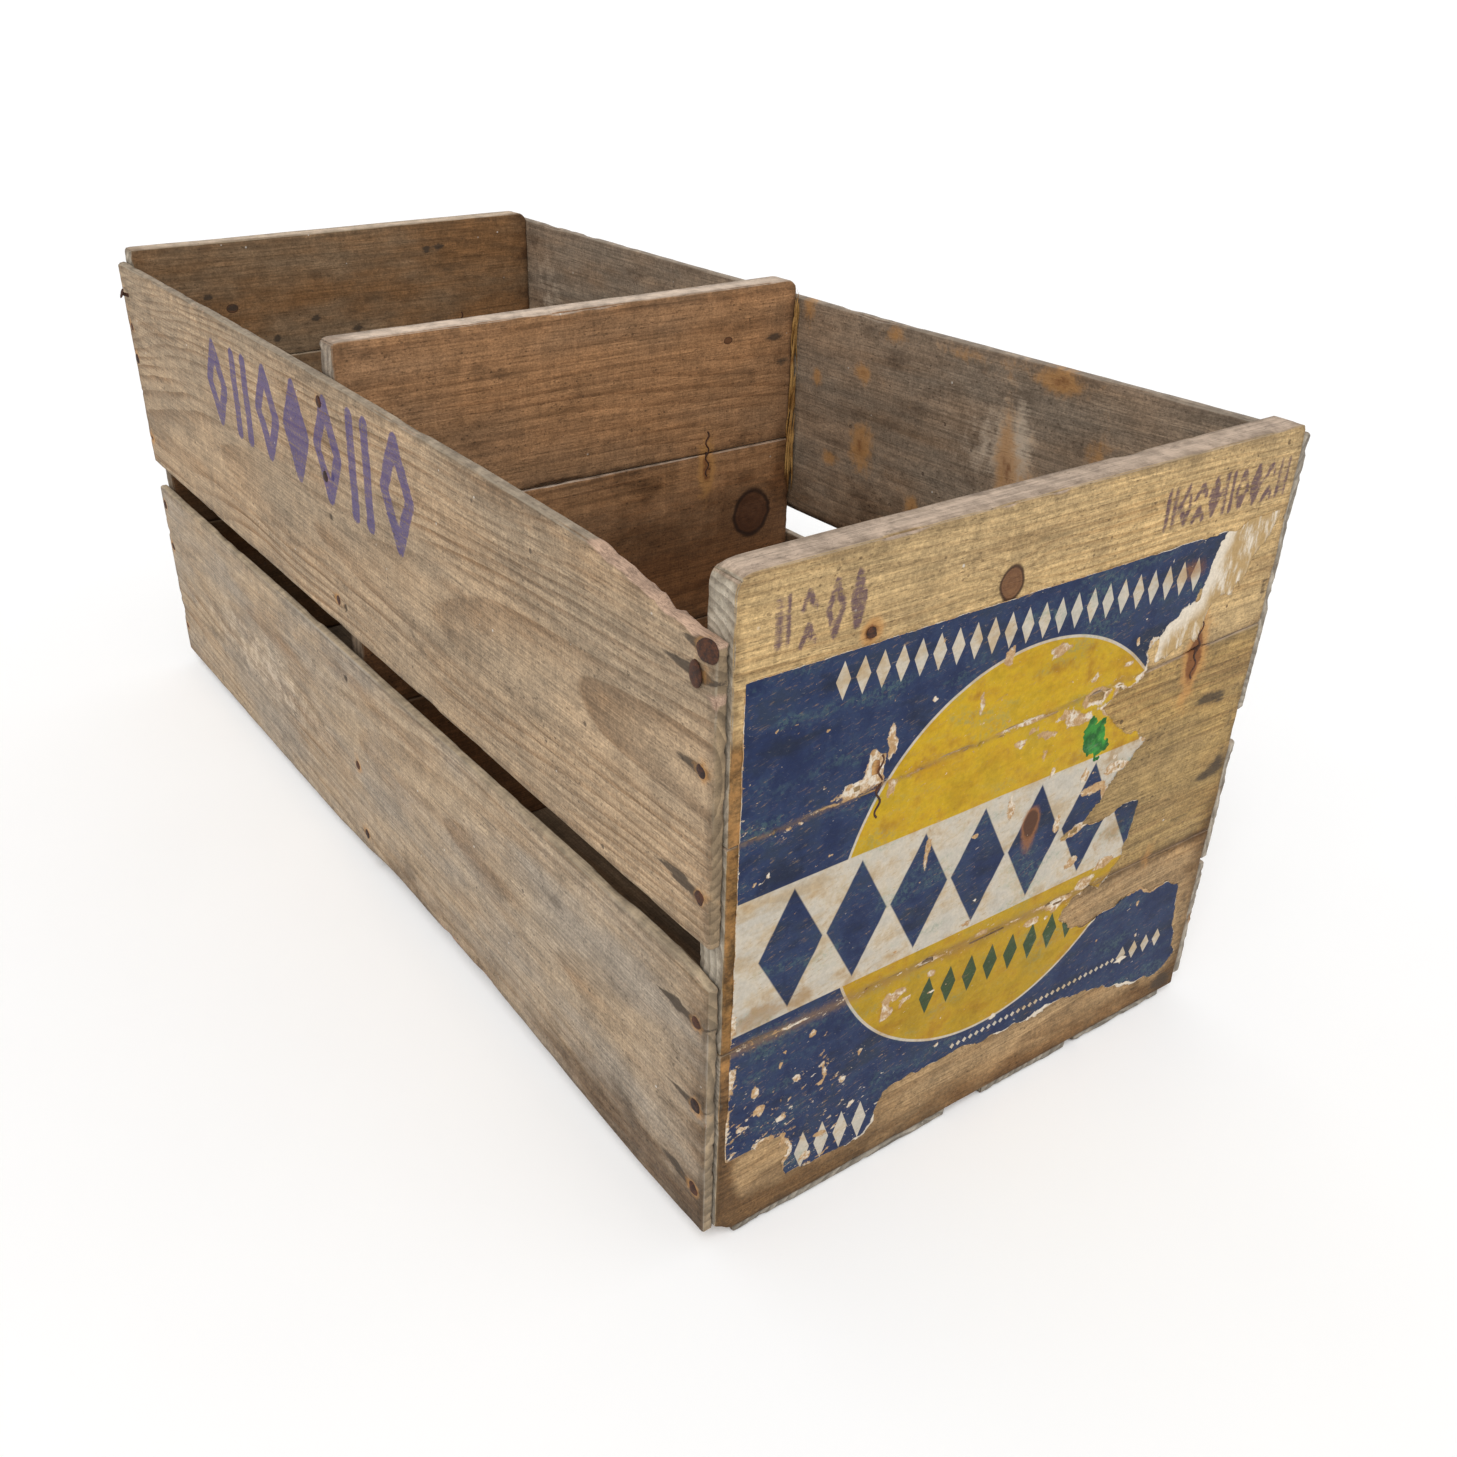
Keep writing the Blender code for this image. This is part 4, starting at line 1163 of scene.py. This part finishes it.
ACROSS, SIDEWAYS, FLAT = "XZY", "YZX", "YXZ"
BOARD_LOOKS = (
    # plank, kind, axes, pith, ring, tilt, knots, inner face (painted darker as shade)
    (front_top, FRONT, ACROSS, (230, -320), 3.4, (0.05, 0.02), ((-21.5, 278, 6.3, 7.2),), ("Y", 1)),
    (front_middle, FRONT_BARE, ACROSS, (150, -300), 4.2, (0.03, 0.03), (), ("Y", 1)),
    (front_bottom, FRONT_LOW, ACROSS, (20, -310), 3.6, (-0.04, 0.02), (), ("Y", 1)),
    (divider_top, INNER, ACROSS, (300, -30), 5.0, (0.03, 0.0), ((98, 286, 3.0, 2.0),), None),
    (divider_middle, INNER, ACROSS, (150, -50), 5.5, (-0.05, 0.02), ((121, 175, 13.5, 15),), None),
    (divider_bottom, INNER, ACROSS, (60, -40), 5.0, (0.02, 0.0), (), None),
    (rear[0], REAR, ACROSS, (260, 300), 5.0, (0.06, 0.03), ((-89, 266, 4, 3),), ("Y", -1)),
    (rear[1], REAR, ACROSS, (170, 290), 4.5, (-0.03, 0.0), (), ("Y", -1)),
    (rear[2], REAR, ACROSS, (50, 300), 5.0, (0.02, 0.0), (), ("Y", -1)),
    (left_top, SIDE, SIDEWAYS, (215, -205), 4.4, (0.06, 0.03), (), ("X", 1)),
    (left_bottom, SIDE_LOW, SIDEWAYS, (95, -215), 5.6, (-0.03, 0.05), (), ("X", 1)),
    (right[0], SIDE_RIGHT, SIDEWAYS, (250, 205), 4.6, (0.05, 0.0), (), ("X", -1)),
    (right[1], SIDE_RIGHT, SIDEWAYS, (130, 220), 4.0, (0.0, 0.02), (), ("X", -1)),
    (right[2], SIDE_RIGHT, SIDEWAYS, (30, 220), 4.4, (0.0, 0.02), (), ("X", -1)),
    (floor_slats[0], FLOOR, FLAT, (-60, -50), 4.4, (0.02, 0.0), (), None),
    (floor_slats[1], FLOOR, FLAT, (120, -40), 4.4, (0.0, 0.0), (), None),
    (floor_slats[2], FLOOR, FLAT, (90, -60), 4.4, (-0.02, 0.0), (), None),
)
SLOTS = {ACROSS: "panel_wood", SIDEWAYS: "side_wood", FLAT: "floor_wood"}
for plank, kind, axes, *figure in BOARD_LOOKS:
    material = wood_material("wood of " + plank.node, kind, axes, plank.seed * 1.37, *figure)
    plank.build(material, SLOTS[axes])

torn_label([BVHTree.FromPolygons(board.points.tolist(), board.faces.tolist()) for board in front])

# ---- iron

nail_iron = rust_material("rusty nail iron", 0)
dark_iron = rust_material("dark nail iron", 2, (0.020, 0.014, 0.013), (0.058, 0.026, 0.018))
for number, node in enumerate(sorted(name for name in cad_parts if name.startswith("nail_"))):
    cad_nail(node, (nail_iron, dark_iron)[number % 3 == 1], number)
# Nails that the CAD leaves out: more along the right side and the floor, a bent one at the far left corner
spare = [((158.9, y, z), (1, 0, 0), 3.3, 0.1) for y in NAIL_ROWS for z in (285, 200, 145, 94, 72, 22)]
spare += [((x, y, 0.0), (0, 0, -1), 3.0, -0.25) for y in NAIL_ROWS for x in (-126, -32, 18, 62, 84, 134)]
for number, (head, outward, radius, lift) in enumerate(spare):
    nail(f"spare_nail_{number + 1}", head, outward, radius, 26.0, nail_iron, number + 50, lift)
nail("bent_nail", (-160.6, 336, 283), (-0.92, 0.1, 0.38), 3.0, 24.0, nail_iron, 91, 2.2, bend=2.0)
nail("small_front_nail", (-92, -350.2, 276), (0, -1, 0), 2.4, 18.0, nail_iron, 92, 0.25)

for panel, middle in (("front_panel", -342.0), ("divider", 0.0), ("rear_panel", 342.0)):
    for side in ("left", "right"):
        word = panel.removesuffix("_panel")
        node = f"corrugated_fastener_{word}_{side}"
        low, high = cad_box(node)
        x = (low[0] + high[0]) / 2
        fastener(node + "_iron", x, middle - 8.3, seam_level(panel, 0, x), nail_iron, node)
        if word != "front":
            fastener(f"lower_fastener_{word}_{side}", x + 6, middle - 8.2, seam_level(panel, 1, x), nail_iron)

# ---- straw caught in the divider's corner


def straw_material():
    g = Graph("old straw")
    here = g.place()
    streak = g.noise(here, scale=0.9, detail=3, roughness=0.7)
    tone = g.step(g.noise(here, scale=0.12, detail=3), 0.35, 0.65)
    g.colour = g.mix(tone, (0.20, 0.090, 0.022), (0.40, 0.225, 0.070))
    g.paint((0.09, 0.05, 0.02), g.step(streak, 0.5, 0.7), 0.6)
    g.bump(streak, 0.2, 0.6)
    return g.finish(0.75, 0.2)


STRAND_SIDES = 6


def strand(name, path, radius, material):
    """A thin closed tube along a path, six-sided and tapered at its ends."""
    path = np.array(path, float)
    ahead = np.gradient(path, axis=0)
    ahead /= np.linalg.norm(ahead, axis=1)[:, None]
    across = np.cross(ahead, (0.3, 1.0, 0.2))
    across /= np.linalg.norm(across, axis=1)[:, None]
    over = np.cross(ahead, across)
    width = radius * np.sin(np.linspace(0.12, math.pi - 0.12, len(path)))[:, None]
    turns = np.arange(STRAND_SIDES) * math.tau / STRAND_SIDES
    sides = [path + width * (math.cos(turn) * across + math.sin(turn) * over) for turn in turns]
    points = np.stack(sides, 1).reshape(-1, 3)
    faces = []
    for start in range(0, len(points) - STRAND_SIDES, STRAND_SIDES):
        for side in range(STRAND_SIDES):
            a, b = start + side, start + (side + 1) % STRAND_SIDES
            faces.append((a, b, b + STRAND_SIDES, a + STRAND_SIDES))
    faces.append(tuple(range(STRAND_SIDES)))
    faces.append(tuple(reversed(range(len(points) - STRAND_SIDES, len(points)))))
    piece = iron_piece(name, points, faces, material, None)
    return piece


straw = straw_material()
rng = np.random.default_rng(7)
part = np.linspace(0, 1, 9)
for number in range(24):
    top = rng.uniform(222, 311)
    length = rng.uniform(14, 55)
    x = 150.0 - rng.uniform(0.4, 3.5) - 1.2 * np.sin(part * rng.uniform(2, 6))
    y = -8.6 - rng.uniform(0.2, 2.2) - 1.0 * np.sin(part * rng.uniform(2, 5) + rng.uniform(0, 3))
    path = np.stack([x, y, top - length * part], 1)
    strand(f"straw_strand_{number + 1}", path, rng.uniform(0.35, 0.9), straw)

# ---- stage, light and camera

FLOOR_REACH, FLOOR_LEVEL = 15000.0, -0.6
stage_graph = Graph("pale floor")
stage_noise = stage_graph.noise(stage_graph.place(), scale=0.01)
stage_graph.colour = stage_graph.mix(stage_noise, (0.955, 0.955, 0.955), (0.975, 0.975, 0.975))
corners = [(x * FLOOR_REACH, y * FLOOR_REACH, FLOOR_LEVEL) for x, y in ((-1, -1), (1, -1), (1, 1), (-1, 1))]
make_object("studio_floor", np.array(corners), [(0, 1, 2, 3)], stage_graph.finish(0.85, 0.1))

# A bright horizon and a dimmer zenith, as in a white room lit from its sides, and a soft sun
HORIZON, ZENITH = 1.10, 0.40
SUN_STRENGTH, SUN_SOFTNESS, SUN_DIRECTION = 2.0, math.radians(35), Vector((0.75, 0.85, -1.35))
world = bpy.data.worlds.new("studio")
world.use_nodes = True
sky = world.node_tree
direction = sky.nodes.new("ShaderNodeSeparateXYZ")
sky.links.new(sky.nodes.new("ShaderNodeTexCoord").outputs["Generated"], direction.inputs[0])
fade = sky.nodes.new("ShaderNodeMapRange")
for name, value in (("From Min", 0.08), ("From Max", 0.9), ("To Min", HORIZON), ("To Max", ZENITH)):
    fade.inputs[name].default_value = value
sky.links.new(direction.outputs["Z"], fade.inputs["Value"])
sky.links.new(fade.outputs["Result"], sky.nodes["Background"].inputs["Strength"])
sky.nodes["Background"].inputs["Color"].default_value = (1.0, 1.0, 1.0, 1.0)
bpy.context.scene.world = world

sun_data = bpy.data.lights.new("soft sun", "SUN")
sun_data.energy = SUN_STRENGTH
sun_data.angle = SUN_SOFTNESS
sun = bpy.data.objects.new("soft sun", sun_data)
sun.rotation_euler = SUN_DIRECTION.to_track_quat("-Z", "Y").to_euler()
bpy.context.scene.collection.objects.link(sun)

# The camera's place in metres, the way it looks, its roll, and its lens and shift
CAMERA_PLACE, CAMERA_AIM, CAMERA_ROLL = (-0.3974, -0.6691, 0.4775), (0.4878, 0.7113, -0.5061), -0.309
camera_data = bpy.data.cameras.new("camera")
camera_data.sensor_width = 36.0
camera_data.lens = 33.537
camera_data.shift_x = 0.0417
camera_data.shift_y = 0.0245
camera_data.clip_end = 100.0
camera = bpy.data.objects.new("camera", camera_data)
forward = Vector(CAMERA_AIM).normalized()
level = forward.cross(Vector((0, 0, 1))).normalized()
camera_right = Matrix.Rotation(math.radians(CAMERA_ROLL), 3, forward) @ level
camera_up = camera_right.cross(forward)
turn = Matrix((camera_right, camera_up, -forward)).transposed().to_4x4()
camera.matrix_world = Matrix.Translation(CAMERA_PLACE) @ turn
bpy.context.scene.collection.objects.link(camera)
bpy.context.scene.camera = camera
bpy.context.scene.view_settings.view_transform = "Standard"
